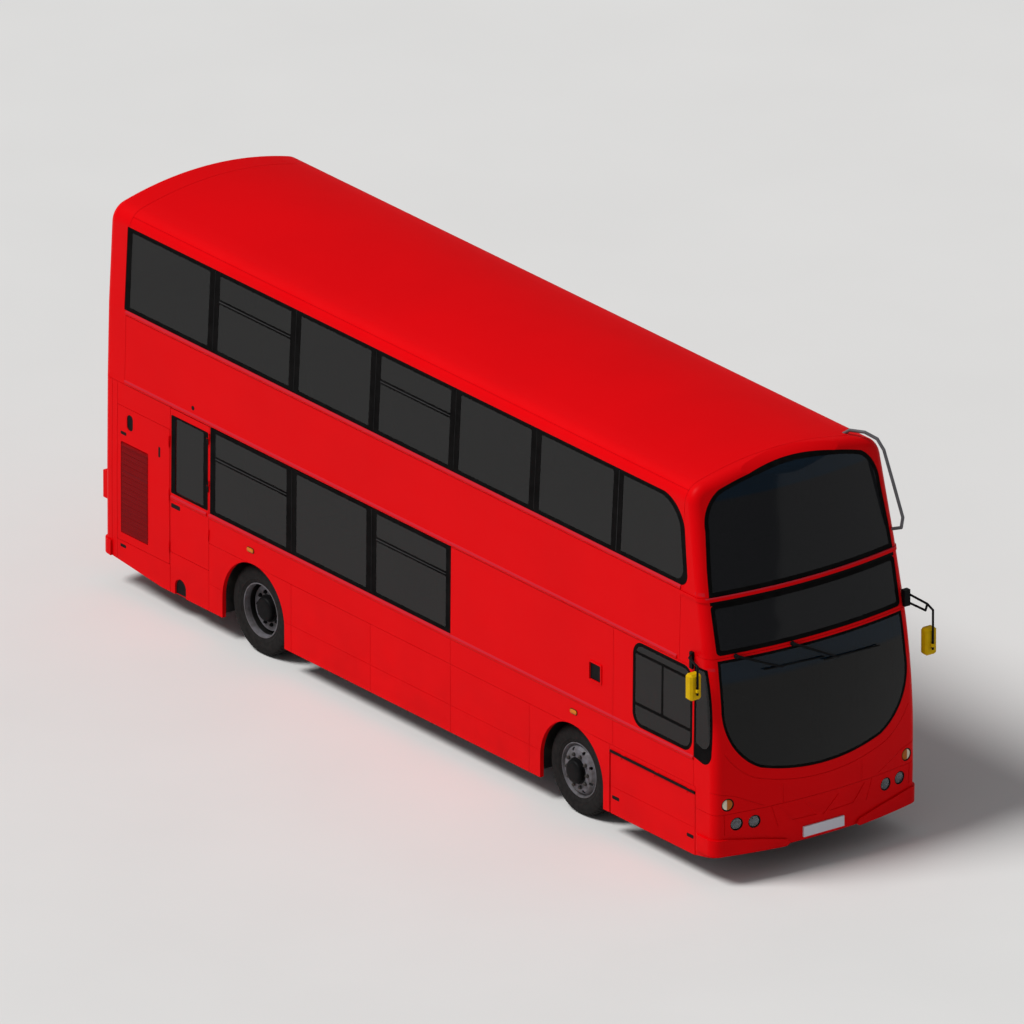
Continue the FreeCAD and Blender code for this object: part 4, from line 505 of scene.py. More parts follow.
def tube(points, radius, sides):
    """A round bar along a line: at each point a circle square to the line's direction, closed at both ends. The line
    may not run along x, which its circles are measured from."""
    points = np.array(points, float)
    ahead = np.gradient(points, axis=0)
    ahead /= np.linalg.norm(ahead, axis=1, keepdims=True)
    side = np.cross(ahead, (1.0, 0.0, 0.0))
    side /= np.linalg.norm(side, axis=1, keepdims=True)
    angle = np.arange(sides) * 2 * np.pi / sides
    ring = np.cos(angle)[None, :, None] * side[:, None] + np.sin(angle)[None, :, None] * np.cross(side, ahead)[:, None]
    return capped(points[:, None] + radius * ring)


SIDE_Z = [0.15, 1.30, 2.28, 3.08, 3.98]
SIDE_HALF_WIDTH = [1.275, 1.275, 1.265, 1.245, 1.197]
FRONT_ARC = 5.9  # radius of the front in plan


def on_side(sign, x, z):
    """A place on the body side about (x, z): way out is measured from the side's own surface at that height."""
    def place(a, b, way):
        y = np.interp(z + b, SIDE_Z, SIDE_HALF_WIDTH) + way
        return at(x + a, sign * y, z + b)
    return place


def facing_back(x, y, z):
    """A place on an upright sheet about (x, y, z): way out is measured towards the rear."""
    def place(a, b, way):
        return at(x - way, y + a, z + b)
    return place


def nose_x(y, z):
    """The lower face's surface: the front's arc about x = -0.625, drawn back below 0.7 m, by 15 mm at 0.05 m."""
    reach = FRONT_ARC - 0.015 * np.clip(0.7 - z, 0.0, None) / 0.65
    return -0.625 + np.sqrt(reach ** 2 - y ** 2)


print("helpers ready: skin, capped, piece, spun, rounded, plate, eased, tube, on_side, facing_back, nose_x")

# %% [markdown]
# # Tyres with tread
# A bus tyre has ribs round it for straight running and open shoulders that clear water. A picture of tread would look
# flat at the rim, so the tread is cut into the shape. The tyre is one grid: its columns follow the section from bead
# to bead, its rows go round, four to each of the sixty pitches. Four grooves 12 mm wide and 10 mm deep are columns set
# lower; the shoulder gaps are two rows of each pitch set 6 mm lower.

# %% The tread
# Radius, distance from the tyre's middle and depth of the shoulder gap, in millimetres
HALF_TYRE = [(287.5, 95, 0), (298, 118, 0), (312, 122.5, 0), (330, 128.6, 0), (332, 130, 0), (336, 130.4, 0),
             (338, 129.8, 0), (356, 134.5, 0), (396, 137.5, 0), (430, 133, 0), (448, 126.8, 0), (456, 123.5, 5),
             (466, 112, 6), (474, 103.5, 6), (477, 92, 6), (477.1, 90, 0), (477.3, 81, 0), (467.3, 80, 0),
             (467.4, 70, 0), (477.4, 69, 0), (477.8, 34, 0), (467.8, 33, 0), (467.9, 23, 0), (477.9, 22, 0),
             (478, 0, 0)]
PITCHES = 60
PITCH_SAMPLES = np.array([0.0, 0.74, 0.78, 0.96])
PITCH_IS_GAP = np.array([0.0, 0.0, 1.0, 1.0])


def tyre(centre):
    """Radius less the shoulder depth where a row lies in a gap, turned about the axle: a closed grid both ways."""
    half = np.array(HALF_TYRE) / 1000
    section = np.concatenate([half * (1, -1, 1), half[::-1][1:]])
    angle = ((np.arange(PITCHES)[:, None] + PITCH_SAMPLES) * 2 * np.pi / PITCHES).reshape(-1)
    gap = np.tile(PITCH_IS_GAP, PITCHES)
    radius = section[:, 0][None, :] - section[:, 2][None, :] * gap[:, None]
    ring = at(radius * np.cos(angle)[:, None], section[:, 1], radius * np.sin(angle)[:, None])
    return skin(np.array(centre) + ring, along=True)


AXLE_Z, FRONT_AXLE_X, REAR_AXLE_X = 0.478, 2.745, -2.655
WHEEL_Y, TWIN_SPACING = 1.0625, 0.3175
SIDES = [("left", 1), ("right", -1)]
for side, sign in SIDES:
    made = piece("front_%s_tread_tyre" % side, [tyre((FRONT_AXLE_X, sign * WHEEL_Y, AXLE_Z))], tyre_rubber,
                 "front_%s_wheel" % side)
    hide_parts("front_%s_tyre" % side)
    twins = [tyre((REAR_AXLE_X, sign * y, AXLE_Z)) for y in (WHEEL_Y, WHEEL_Y - TWIN_SPACING)]
    made = piece("rear_%s_tread_tyres" % side, twins, tyre_rubber, "rear_%s_wheels" % side)
    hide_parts("rear_%s_tyres" % side)
print("tyre faces:", 4 * PITCHES * (2 * len(HALF_TYRE) - 1))

# %% [markdown]
# # Wheel nuts and hub covers
# Ten studs hold each wheel on a ring 345 mm across. Nuts are hexagons with a washer face, and a stud end stands a
# little out of each: bare iron in front, black behind. The front hub wears a pressed black cap; the rear one a longer
# cover over the end of the half-shaft, with a steel plate round it that carries the nuts. Each is a profile turned
# about an axis: with six sides it is a nut.

# %% Nuts and covers
STUDS, NUT_RING, NUT_RADIUS = 10, 0.1725, 0.0195
# Sides and (radius, way out) pairs of a washer, a nut and a stud's end
NUT_PARTS = [(16, [(0, 0), (0.021, 0), (0.021, 0.003), (0, 0.003)]),
             (6, [(0, 0.003), (NUT_RADIUS, 0.003), (NUT_RADIUS, 0.020), (0.015, 0.023), (0, 0.023)]),
             (10, [(0, 0.023), (0.0095, 0.023), (0.0085, 0.031), (0, 0.031)])]
FRONT_CAP = [(0, 0.139), (0.140, 0.139), (0.141, 0.143), (0.127, 0.147), (0.1235, 0.186), (0.117, 0.196),
             (0.103, 0.2025), (0.088, 0.205), (0, 0.205)]
REAR_COVER = [(0, -0.147), (0.135, -0.147), (0.135, 0.014), (0.146, 0.016), (0.146, 0.026), (0.132, 0.030),
              (0.128, 0.066), (0.118, 0.080), (0.104, 0.085), (0.060, 0.087), (0, 0.087)]
NUT_PLATE = [(0.134, 0.006), (0.236, 0.006), (0.243, 0.000), (0.246, 0.002), (0.238, 0.013), (0.134, 0.013)]
for side, sign in SIDES:
    for end, body, x, face, cover, nut_finish in (
            ("front", "front_%s_wheel", FRONT_AXLE_X, 0.139, FRONT_CAP, cast_iron),
            ("rear", "rear_%s_wheels", REAR_AXLE_X, 0.013, REAR_COVER, fitting_black)):
        hub = (x, sign * WHEEL_Y, AXLE_Z)
        axis = (0.0, float(sign), 0.0)
        nuts = []
        for turn in np.arange(STUDS) * 2 * np.pi / STUDS:
            spot = np.array(hub) + (NUT_RING * np.cos(turn), sign * face, NUT_RING * np.sin(turn))
            nuts += [spun(profile, spot, axis, sides) for sides, profile in NUT_PARTS]
        piece("%s_%s_hub_cover" % (end, side), [spun(cover, hub, axis, 64)], fitting_black,
              body % side)
        piece("%s_%s_wheel_nuts" % (end, side), nuts, nut_finish, body % side)
    piece("rear_%s_nut_plate" % side, [spun(NUT_PLATE, hub, axis, 64, True)], wheel_paint,
          "rear_%s_wheels" % side)
print("nuts:", STUDS * 2 * len(SIDES))

# %% [markdown]
# # Front lamps
# Each headlamp is a round unit: a black bezel sunk in the moulding, a bowl plated with aluminium, a bulb shield, and a
# clear moulded lens. A glossy disc would look like a button: a lamp is bright because light goes through the lens and
# comes back from the bowl, so both are modelled, as rings laid on the curved nose. Every point has a radius from the
# lamp's middle and a depth behind the nose there. The two marker lamps are closed lenses, white ahead and amber to
# the side.

# %% Headlamps and markers
def on_nose(centre, pairs, sides=48):
    """Rings about (y, z) on the nose: y and z from the radius and angle, x from the nose surface less the depth."""
    radius, depth = np.array(pairs, float).T[:, :, None]
    angle = np.arange(sides) * 2 * np.pi / sides
    y = centre[0] + radius * np.cos(angle)
    z = centre[1] + radius * np.sin(angle)
    return skin(at(nose_x(y, z) - depth, y, z))


def closed_sheet(front, thick):
    """A closed profile: the front pairs, the same ones thick further back in reverse order, and the first again."""
    return front + [(r, d + thick) for r, d in front[::-1]] + front[:1]


BOWL_RADIUS, LENS_RADIUS = 0.0575, 0.0580
HEADLAMPS = [(sign * y, z) for y, z in ((1.030, 0.650), (0.830, 0.640)) for sign in (1, -1)]
MARKERS = [(sign * 1.130, 0.873) for sign in (1, -1)]
bezel = [(0.0585, 0.022), (0.0700, 0.022), (0.0700, 0.002), (0.0680, 0.0005), (0.0635, 0.0015), (0.0605, 0.006),
         (0.0585, 0.009), (0.0585, 0.022)]
bowl = closed_sheet([(r, 0.0235 - 0.015 * (r / BOWL_RADIUS) ** 2) for r in np.linspace(0.0005, BOWL_RADIUS, 9)], 0.0012)
lens = closed_sheet([(r, 0.0015 + 0.006 * (r / LENS_RADIUS) ** 2) for r in np.linspace(LENS_RADIUS, 0.0005, 8)], 0.0018)
shield = [(0.0003, 0.0125), (0.0105, 0.0125), (0.0125, 0.0150), (0.0125, 0.0210), (0.0003, 0.0210)]
lenses = piece("headlamp_lenses", [on_nose(c, lens) for c in HEADLAMPS], clear_lens)
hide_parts("front_lamps")
piece("headlamp_bowls", [on_nose(c, bowl) for c in HEADLAMPS], lamp_silver)
piece("headlamp_shields", [on_nose(c, shield) for c in HEADLAMPS], lamp_silver)
marker_bezel = [(r - 0.0015, d) for r, d in bezel]
piece("lamp_bezels", [on_nose(c, bezel) for c in HEADLAMPS] + [on_nose(c, marker_bezel) for c in MARKERS],
      fitting_black)
marker = [(0.0003, 0.024), (0.0565, 0.024), (0.0565, 0.0075), (0.0545, 0.0045), (0.048, 0.0022), (0.030, 0.0006),
          (0.0003, 0.0002)]
piece("marker_lamps", [on_nose(c, marker) for c in MARKERS], marker_lens)
print("lamps:", len(HEADLAMPS) + len(MARKERS))

# %% [markdown]
# # Side repeaters, pocket liners and latches
# Small amber repeaters sit on black bases along the waist. Every handle, latch and filler pocket has a black moulded
# liner, which makes the pocket read as a hole with a handle in it, and a hood sheds water over the slot of the skirt
# flap's hinge. All are one kind of piece: an outline with round corners, stacked outwards from the body side. One
# table says where each is, how large, how deep, and which door it moves with.

# %% Liners, latches and repeaters
# The liner and the hood of the flap's slot pass through the moving halves of the flap's hinge, a fault left in place.
LINERS = [  # name, body, x, z, half length, half height, corner, back, front
    ("lid_oval_liner", "engine_side_door", -4.7775, 1.8775, 0.0515, 0.0865, 0.049, -0.0106, -0.0070),
    ("lid_slot_liner", "engine_side_door", -4.2690, 1.7225, 0.0160, 0.0560, 0.008, -0.0040, 0.0012),
    ("lid_latch", "engine_side_door", -4.8850, 1.7350, 0.0480, 0.0170, 0.010, -0.0030, 0.0015),
    ("skirt_latch", "bus_body", -4.8900, 0.4950, 0.0480, 0.0170, 0.010, -0.0060, 0.0015),
    ("door_handle_plate", "emergency_door", -3.9850, 1.2115, 0.0760, 0.0240, 0.012, -0.0130, 0.0012),
    ("hatch_liner", "bus_body", 3.1375, 1.6925, 0.0915, 0.0915, 0.008, -0.0105, -0.0070),
    ("flap_latch_rear", "skirt_flap", 3.4850, 0.4350, 0.0590, 0.0190, 0.010, -0.0060, 0.0015),
    ("flap_latch_front", "skirt_flap", 4.7300, 0.4350, 0.0560, 0.0190, 0.010, -0.0060, 0.0015),
    ("flap_slot_liner", "bus_body", 4.1035, 0.9195, 0.7070, 0.0105, 0.003, -0.0120, 0.0010),
    ("vent_liner", "bus_body", -3.7000, 2.3850, 0.0235, 0.0235, 0.023, -0.0022, 0.0008),
    ("flap_slot_hood", "bus_body", 4.1035, 0.9300, 0.7070, 0.0110, 0.003, -0.0020, 0.0140),
]
for name, body, x, z, half_x, half_z, corner, back_way, front_way in LINERS:
    profile = [(0, back_way), (0, front_way - 0.001), (0.001, front_way)]
    piece(name, [plate(on_side(-1, x, z), (half_x, half_z), corner, profile)], fitting_black, body)


def step_pocket(a, b, way):
    """The step pocket in the skirt: an outline with a round top whose foot is cut level at 0.262 m."""
    return on_side(-1, -3.906, 0.0)(a, np.maximum(0.262 + b, 0.262), way)


piece("step_pocket_liner", [plate(step_pocket, (0.090, 0.166), 0.089, [(0, -0.0198), (0, -0.0170), (0.001, -0.016)])],
      fitting_black)


def frame_ring(sign, outer, inner, back_way, front_way):
    """A flat ring on the side between two rounded rectangles given as x0, x1, z0, z1: out, up, in and back again."""
    rings = []
    for (x0, x1, z0, z1), way in ((outer, back_way), (outer, front_way), (inner, front_way), (inner, back_way)):
        a, b = rounded((x1 - x0) / 2, (z1 - z0) / 2, 0.014).T
        rings.append(on_side(sign, (x0 + x1) / 2, (z0 + z1) / 2)(a, b, way))
    return skin(np.array(rings), along=True)


SEAL_OUTER, SEAL_INNER = (-4.062, -3.433, 1.347, 2.200), (-3.987, -3.510, 1.368, 2.179)
piece("emergency_door_seal", [frame_ring(-1, SEAL_OUTER, SEAL_INNER, -0.002, 0.002)], window_rubber,
      "emergency_door")

REPEATER_Z = 1.15
REPEATER_BASE = [(0, -0.002), (0, 0.003), (0.002, 0.0045)]
REPEATER_LENS = [(0, 0.003), (0, 0.0075), (0.003, 0.0105), (0.008, 0.0122), (0.015, 0.0127)]
spots = [(sign, x) for sign in (1, -1) for x in (-2.70, 2.78)]
piece("repeater_bases", [plate(on_side(s, x, REPEATER_Z), (0.062, 0.0285), 0.028, REPEATER_BASE, 9)
                         for s, x in spots], fitting_black)
piece("side_repeaters", [plate(on_side(s, x, REPEATER_Z), (0.055, 0.0225), 0.022, REPEATER_LENS, 9)
                         for s, x in spots], amber_lens)
print("liners:", len(LINERS), "repeaters:", len(spots))

# %% [markdown]
# # The air intake's mesh
# Behind the engine door's slats the real bus breathes through sheet steel punched with holes 20 mm apart. A painted
# pattern would not let the dark behind show through. Each hole is one cell, repeated as arrays: a six-sided outline
# that meets its neighbours, a smaller six-sided hole, and the 2 mm wall between.

# %% Punched sheet
GRILLE_X, GRILLE_Z = (-4.925, -4.465), (0.640, 1.635)
PITCH, HOLE_RADIUS = 0.020, 0.0068
CELL_RADIUS = PITCH / math.sqrt(3)
SHEET_FRONT, SHEET_BACK = -0.0005, -0.0025
column = np.arange(GRILLE_X[0] + PITCH / 2, GRILLE_X[1] - PITCH / 2, PITCH * 0.866)
row = np.arange(GRILLE_Z[0] + PITCH / 2, GRILLE_Z[1] - PITCH, PITCH)
cell_z = row + (np.arange(len(column)) % 2)[:, None] * PITCH / 2
cell_x = np.broadcast_to(column[:, None], cell_z.shape)
angle = np.arange(6) * np.pi / 3
layers = []
for size, way in ((CELL_RADIUS, SHEET_FRONT), (HOLE_RADIUS, SHEET_FRONT), (HOLE_RADIUS, SHEET_BACK),
                  (CELL_RADIUS, SHEET_BACK)):
    x = cell_x.reshape(-1, 1) + size * np.cos(angle)
    z = cell_z.reshape(-1, 1) + size * np.sin(angle)
    layers.append(on_side(-1, 0.0, 0.0)(x, z, way))
cells = np.stack(layers, axis=1)
quads = skin(np.zeros((4, 6, 3)))[1]
quads = (quads[None] + np.arange(len(cells))[:, None, None] * 24).reshape(-1, 4)
# The punched sheet takes the enamel painted darker as shade.
piece("intake_mesh", [(cells.reshape(-1, 3), quads)], intake_shaded_enamel, "engine_side_door", 20.0)
print("holes:", len(cells))

# %% [markdown]
# # Seam sealant and slide bars
# The glass is bonded, and between two panes a grey bead of polyurethane fills the 6 mm seam. Where a hopper window's
# sliding pane meets the fixed one runs a black rail with a thin grey strip along its middle. The beads are a closed
# section carried up the leaning side, with the place of every ring read from the side's own curve.

# %% Beads and rails
PILLARS = [-3.397, -2.012, -0.652, 0.698, 2.053, 3.433]
DECKS = [(1.345, 2.250), (3.105, 3.965)]


def bead(sign, x, low, high, half, back_way, front_way):
    """A rounded strip from low to high: five section points about x, moved out along the side at each height."""
    z = np.linspace(low, high, 7)[:, None]
    across = np.array([-half, -half, 0.0, half, half])
    way = np.array([back_way, front_way - half * 0.4, front_way, front_way - half * 0.4, back_way])
    return capped(on_side(sign, x, 0.0)(across, z, way))


def slide_bar(sign, first, last, z, half_z, front_way):
    """A strip along the hopper's bar, from first to last about height z, out to front_way from the side."""
    profile = [(0, -0.006), (0, front_way - 0.0002), (0.0003, front_way)]
    return plate(on_side(sign, (first + last) / 2, z), ((last - first) / 2 - 0.085, half_z), 0.001, profile)


HOPPERS = [(PILLARS[0], PILLARS[1]), (PILLARS[2], PILLARS[3])]
HOPPER_BAR_Z = (1.950, 3.660)
bars = [(sign, first, last, z) for sign in (1, -1) for first, last in HOPPERS for z in HOPPER_BAR_Z]
beads = [bead(sign, x, low, high, 0.0026, -0.010, -0.0035)
         for sign in (1, -1) for x in PILLARS for low, high in DECKS]
beads += [slide_bar(*bar, 0.0035, -0.0008) for bar in bars]
sealant = mottled("polyurethane_sealant_grey", "#3A3A3B", 0.6, (0.03, 1.0, "#363637", "#404041"), (0.002, 0.00005),
                  IOR=1.5, Specular_IOR_Level=0.2)
piece("seam_beads", beads, sealant)
piece("slide_rails", [slide_bar(*bar, 0.0255, -0.0014) for bar in bars], window_rubber)
print("beads:", len(beads))

# %% [markdown]
# # Backings, wiper arms and mirror glass
# Panels meet with a 4 mm gap, and the engine cover has open slots. On the real bus a black steel sheet lies behind
# both, so that no daylight shows through. Wiper arms are channel pressings that taper from the pivot, and the mirror
# heads hold silvered glass that faces back. All are outlines with round corners, stacked or carried along a line.

# %% Backings behind the gaps and slots
THIN_SHEET = [(0, -0.003), (0, -0.0012), (0.001, -0.0006)]
GAP_SHEET = [(0, -0.0500), (0, -0.0475), (0.001, -0.0465)]
piece("engine_cover_backing", [plate(facing_back(-5.1845, 0.0, 0.950), (0.720, 0.265), 0.02, THIN_SHEET)],
      chassis_wax, "engine_cover")
piece("corner_gap_backings", [plate(on_side(sign, -5.080, 0.420), (0.022, 0.075), 0.004, GAP_SHEET)
                              for sign in (1, -1)], chassis_wax)

# %% Wiper arms
def front_x(y, z):
    """The raked front: a line that leans back 0.22 m for each metre up, less the sag of the front's arc at y."""
    return 5.123 - 0.22 * (z - 2.5) - FRONT_ARC + np.sqrt(FRONT_ARC ** 2 - y ** 2)


def wiper_arm(pivot, elbow):
    """A tapered channel from pivot to elbow, 30 mm ahead of the glass: rounded sections whose half height falls from
    15 to 9 mm."""
    t = np.array([0.0, 0.03, 0.35, 0.97, 1.0])
    rings = []
    for share, half_z in zip(t, (0.012, 0.015, 0.013, 0.009, 0.007)):
        y, z = np.array(pivot) * (1 - share) + np.array(elbow) * share
        a, b = rounded(0.009, half_z, 0.004).T
        rings.append(at(front_x(y, z) + 0.030 - 0.004 * share + a, y, z + 0.005 + b))
    return capped(rings)


WIPER_ARMS = [((-0.960, 2.420), (-0.460, 2.215)), ((-0.300, 2.420), (0.225, 2.165))]
arms = [wiper_arm(pivot, elbow) for pivot, elbow in WIPER_ARMS]
PIVOT_CAP = [(0, 0.004), (0.026, 0.004), (0.026, 0.012), (0.022, 0.016), (0.022, 0.040), (0.017, 0.045), (0, 0.046)]
arms += [spun(PIVOT_CAP, (front_x(y, z), y, z), (1.0, 0.0, 0.0), 24) for (y, z), _ in WIPER_ARMS]
piece("wiper_arms", arms, fitting_black)

# %% Mirror glass
MIRROR_BACKS = [((4.981, -1.450, 2.192), (0.060, 0.130)), ((5.081, 1.450, 2.020), (0.060, 0.135))]
MIRROR_SHEET = [(0, -0.001), (0, 0.003), (0.0015, 0.0040)]
glasses = [plate(facing_back(*middle), half, 0.017, MIRROR_SHEET) for middle, half in MIRROR_BACKS]
piece("mirror_glasses", glasses, mirror_silver)
print("wiper arms:", len(WIPER_ARMS), "mirrors:", len(glasses))

# %% [markdown]
# # Seats
# A bus seat for two is a pair of foam pads in moquette, in a moulded shell on a steel foot. A pad is a bag of cloth
# over foam: fullest in the middle, pulled in at the rim by the welt, drawn in between the corners. Cloth finds that
# form by itself. Two sheets joined at the rim are blown up from inside with the rim and one sewn channel held, no
# point goes further than a foam pad swells, and the result is kept as a plain mesh. One cushion and one back are
# blown up, then set out on every seat of the bus.

# %% Blowing up a pad
PAD_PRESSURE = 4.0
PAD_FRAMES = 20
PAD_SWELL = 0.016


def pad_sheets(length, width, thick, channel, columns=22, rows=18):
    """Two sheets u, v in -1 to 1 with a common rim. x is u with the sides drawn in by (1 - v^2), y likewise, and z is
    the half thickness times a flat crown, lowered by three tenths along the sewn channel at u = channel."""
    u, v = np.linspace(-1, 1, columns)[:, None], np.linspace(-1, 1, rows)
    x = length / 2 * u * (1 - 0.035 * (1 - v ** 2))
    y = width / 2 * v * (1 - 0.035 * (1 - u ** 2))
    crown = np.sqrt(np.clip((1 - u ** 8) * (1 - v ** 8), 0, 1)) * (0.82 + 0.18 * (1 - u ** 2) * (1 - v ** 2))
    groove = 1 - 0.3 * np.exp(-((u - channel) / 0.05) ** 2)
    top = at(x, y, thick / 2 * crown * groove)
    return [skin(top, around=False), skin(top * (1, 1, -1), around=False)]


def coordinates(mesh):
    """The mesh's points, one row of x, y and z each."""
    flat = np.empty(len(mesh.vertices) * 3)
    mesh.vertices.foreach_get("co", flat)
    return flat.reshape(-1, 3)


def blown_pad(length, width, thick, channel):
    """Points and quads of one pad after the cloth has settled. Points on the rim and the channel are held."""
    form = piece("pad_form", pad_sheets(length, width, thick, channel), moquette)
    mesh = form.data
    start = coordinates(mesh)
    near_channel = np.abs(start[:, 0] - channel * length / 2) < length * 0.012
    held = np.flatnonzero((np.abs(start[:, 2]) < 1e-5) | near_channel)
    form.vertex_groups.new(name="sewn").add(held.tolist(), 1.0, "REPLACE")
    cloth = form.modifiers.new("cloth", "CLOTH")
    cloth.settings.vertex_group_mass = "sewn"
    cloth.settings.use_pressure = True
    cloth.settings.uniform_pressure_force = PAD_PRESSURE
    cloth.settings.effector_weights.gravity = 0.0
    for frame_number in range(1, PAD_FRAMES + 1):
        bpy.context.scene.frame_set(frame_number)
    shift = coordinates(form.evaluated_get(bpy.context.evaluated_depsgraph_get()).data) - start
    moved = np.linalg.norm(shift, axis=1, keepdims=True)
    start = start + shift * np.minimum(1.0, PAD_SWELL / np.maximum(moved, 1e-9))
    bpy.context.scene.frame_set(1)
    corners = np.empty(len(mesh.loops), dtype=np.int32)
    mesh.loops.foreach_get("vertex_index", corners)
    bpy.data.objects.remove(form)
    bpy.data.meshes.remove(mesh)
    return start, corners.reshape(-1, 4)


cushion = blown_pad(0.400, 0.415, 0.070, 0.55)
backrest = blown_pad(0.600, 0.405, 0.046, 0.45)
print("pad points:", len(cushion[0]), len(backrest[0]), "thickness:", round(float(np.ptp(cushion[0][:, 2])), 3))

# %% [markdown]
# # Where the seats stand
# Rows are 740 mm apart, doubles either side of the aisle. On the upper deck the stairs take the place of four rows.
# A list of rows is enough: every pad is the same form, turned to the seat's own slope and moved to its place, and
# all the pads of one deck are one piece.

# %% Pads on every seat
ROW_PITCH, AISLE_Y, STAIRS_X = 0.740, 0.740, (1.199, 3.701)
LOWER_FLOOR, WHEEL_BOX_FLOOR, REAR_FLOOR, UPPER_FLOOR = 0.345, 1.035, 0.560, 2.400
lower_places = [(-1.250 + ROW_PITCH * k, AISLE_Y, LOWER_FLOOR) for k in range(5)]
lower_places += [(-1.250 + ROW_PITCH * k, -AISLE_Y, LOWER_FLOOR) for k in range(3)]
lower_places += [(-2.595, sign * AISLE_Y, WHEEL_BOX_FLOOR) for sign in (-1, 1)] + [(-3.690, AISLE_Y, REAR_FLOOR)]
upper_places = [(-4.500 + ROW_PITCH * k, AISLE_Y, UPPER_FLOOR) for k in range(12)]
upper_places += [(x, -y, z) for x, y, z in upper_places if not STAIRS_X[0] < x < STAIRS_X[1]]
driver_places = [(3.960, -0.720, 0.525)]
CUSHION_AT = (0.020, 0.405, math.radians(2.7))  # ahead, up and tilt
BACK_AT = (-0.2735, 0.7400, math.radians(99.2))


def set_out(pad, ahead, up, tilt, places, offsets):
    """The pad turned about the sideways axis by tilt, then moved ahead and up from every place and offset."""
    points, quads = pad
    c, s = math.cos(tilt), math.sin(tilt)
    turned = points @ np.array([[c, 0, s], [0, 1, 0], [-s, 0, c]])
    return [(turned + (x + ahead, y + offset, z + up), quads) for x, y, z in places for offset in offsets]


# Name, places, how far each pad lies from the seat's middle, and the width of its shell
SEATS = [("lower_seat", lower_places, (-0.2175, 0.2175), 0.876),
         ("upper_seat", upper_places, (-0.2175, 0.2175), 0.876), ("driver_seat", driver_places, (0.0,), 0.496)]
for name, places, offsets, _ in SEATS:
    pads = set_out(cushion, *CUSHION_AT, places, offsets) + set_out(backrest, *BACK_AT, places, offsets)
    made = piece(name + "_pads", pads, moquette, crease=60.0)
    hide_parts(name + ("" if name == "driver_seat" else "s"))
print("seats:", len(lower_places), len(upper_places), len(driver_places))

# %% [markdown]
# # Shells, feet and grab rails
# The pads sit in a thin moulded shell that runs under the cushion and up behind the back. A steel foot carries it, and
# a rail along the top of the back is the next row's handhold. The shell is one closed section carried across the
# seat, with its first and last rings drawn in a little so that the edge is round.

# %% Shells
SHELL_SECTION = np.array([(0.232, 0.352), (0.150, 0.334), (-0.262, 0.334), (-0.318, 0.690), (-0.366, 1.046),
                          (-0.352, 1.048), (-0.304, 0.692), (-0.250, 0.348), (0.146, 0.346), (0.226, 0.362)])


def shell(place, width):
    """The closed section carried across the seat: every ring is the section about its own middle, scaled by 0.97 at
    the two ends and 1 between, at y from one side to the other."""
    middle = SHELL_SECTION.mean(axis=0)
    scale = np.array([0.97, 1.0, 1.0, 0.97])[:, None, None]
    y = place[1] + np.array([-0.5, -0.485, 0.485, 0.5]) * width
    flat = middle + (SHELL_SECTION - middle) * scale
    return capped(at(place[0] + flat[..., 0], y[:, None], place[2] + flat[..., 1]))


# Height over the floor, half length, and half width as a share of the seat's
FOOT_RINGS = [(0.003, 0.150, 0.140), (0.018, 0.145, 0.135), (0.040, 0.060, 0.090), (0.300, 0.055, 0.090),
              (0.332, 0.120, 0.160)]


def foot(place, width):
    """A steel foot: a round-cornered outline that narrows from the floor to under the shell."""
    rings = []
    for height, half_x, share in FOOT_RINGS:
        a, b = rounded(half_x, share * width, 0.02).T
        rings.append(at(place[0] - 0.03 + a, place[1] + b, place[2] + height))
    return capped(rings)


for name, places, _, width in SEATS:
    piece(name + "_shells", [shell(p, width) for p in places] + [foot(p, width) for p in places], cab_plastic)
rail_shape = eased([(-0.352, -0.40, 0.98), (-0.356, -0.405, 1.025), (-0.358, -0.37, 1.042), (-0.358, 0.37, 1.042),
                    (-0.356, 0.405, 1.025), (-0.352, 0.40, 0.98)])
rails = [tube(rail_shape + np.array(p), 0.007, 8) for p in lower_places + upper_places]
piece("seat_grab_rails", rails, powder_grey)
print("shells:", len(lower_places) + len(upper_places) + 1, "rails:", len(rails))

# %% [markdown]
# # Poles
# Standing riders hold poles of plastic-coated tube that rise from the seat backs to the ceiling along the aisle.
# Each is a straight line swept with a circle, with a flange spun at its top.

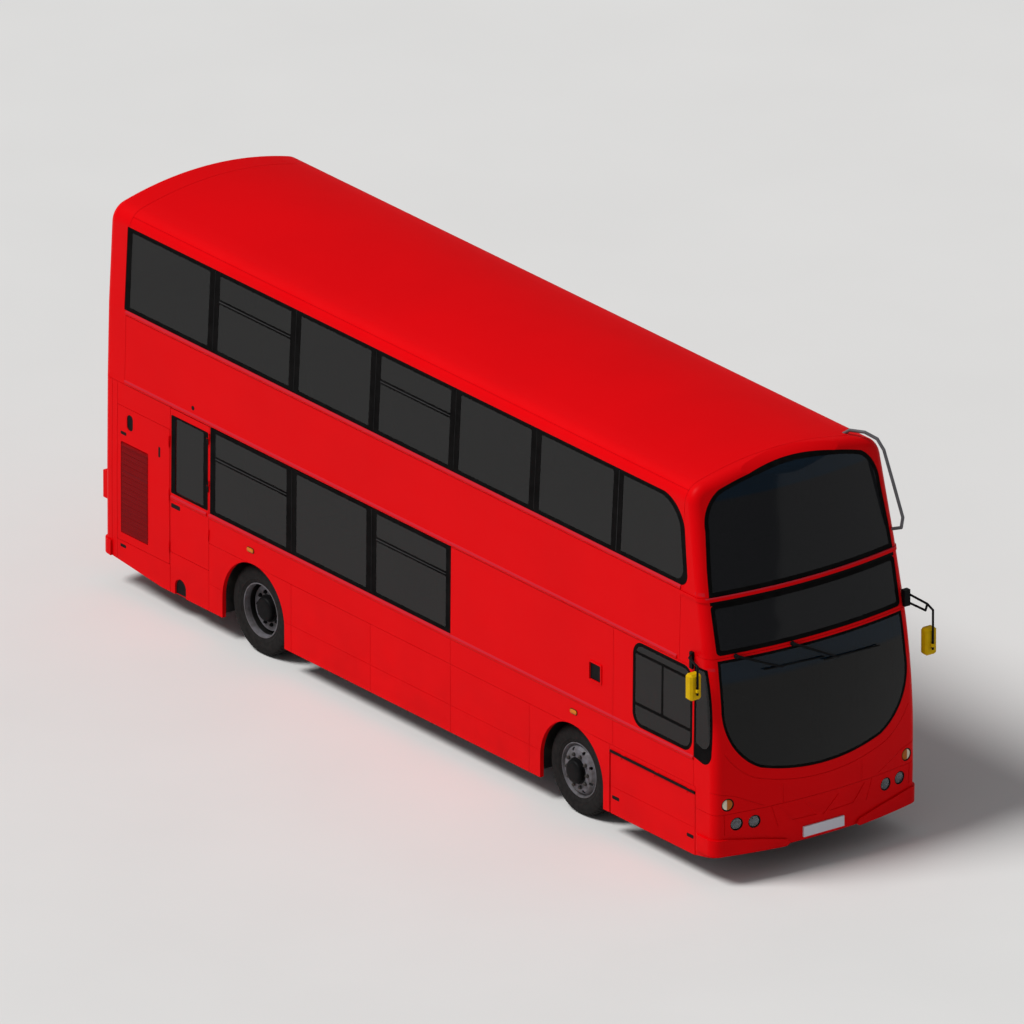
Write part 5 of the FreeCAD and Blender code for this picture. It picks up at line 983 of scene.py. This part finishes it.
# %% Poles along the aisle
LOWER_CEILING, UPPER_CEILING = 2.330, 4.080
POLE_BEHIND, POLE_INWARD, POLE_FOOT = 0.358, 0.412, 1.030
FLANGE = [(0, -0.012), (0.026, -0.012), (0.036, -0.003), (0.036, 0.0), (0, 0.0)]
poles = []
for places, ceiling in ((lower_places[0:5:2] + lower_places[5:8:2], LOWER_CEILING),
                        (upper_places[0:12:3], UPPER_CEILING)):
    for x, y, z in places:
        top = (x - POLE_BEHIND, math.copysign(abs(y) - POLE_INWARD, y), ceiling)
        poles.append(tube(np.linspace((*top[:2], z + POLE_FOOT), top, 6), 0.016, 12))
        poles.append(spun(FLANGE, top, (0.0, 0.0, 1.0), 20))
piece("aisle_poles", poles, mirror_nylon)
print("poles:", len(poles) // 2)

# %% [markdown]
# # Stage: pale floor, one soft sun, a long lens
# A product shot wants an even pale floor, a soft light high on the offside and a little light from all round, at a
# level where a colour shows about as it is written. A camera very far off with a long lens keeps parallel lines
# parallel, as in a technical view from the front offside corner.

# %% Floor, light and camera
def sheet_of(name, half, made):
    """Flat square at floor height, 17 points each way."""
    side = np.linspace(-half, half, 17)
    return placed_mesh(name, *skin(at(side[:, None], side, 0.0), around=False), made)


def aimed(name, data, back):
    """A light or a camera whose back, its own z axis, is turned towards a direction."""
    placed = bpy.data.objects.new(name, data)
    placed.rotation_mode = "QUATERNION"
    placed.rotation_quaternion = back.to_track_quat("Z", "Y")
    bpy.context.scene.collection.objects.link(placed)
    return placed


studio_paint = finish("studio_floor_paint", "#DAD9D7", 0.9, Specular_IOR_Level=0.1)
two_colours(studio_paint, blotches(studio_paint, 2.5), "#DBDAD8", "#D9D8D6")
sheet_of("studio_floor", 200.0, studio_paint)

scene = bpy.context.scene
scene.view_settings.view_transform = "Standard"
scene.world = bpy.data.worlds.new("studio")
scene.world.use_nodes = True
scene.world.node_tree.nodes["Background"].inputs["Color"].default_value = (0.27, 0.275, 0.285, 1.0)

sun = aimed("soft_sun", bpy.data.lights.new("soft_sun", "SUN"), Vector((-0.2, -0.5, 0.75)))
sun.data.energy = 2.9
sun.data.angle = math.radians(22)

FRAME_HEIGHT, FRAME_MIDDLE = 10.396, Vector((0.014, 0.02, 2.125))
back = Vector((4.0, -3.0, 2.0)).normalized()
camera = aimed("camera", bpy.data.cameras.new("camera"), back)
camera.data.lens, camera.data.sensor_width = 1500.0, 36.0
camera.data.clip_start, camera.data.clip_end = 1.0, 2000.0
distance = FRAME_HEIGHT * camera.data.lens / camera.data.sensor_width
camera.location = FRAME_MIDDLE + back * distance
scene.camera = camera
print("camera distance:", round(distance, 1), "m")
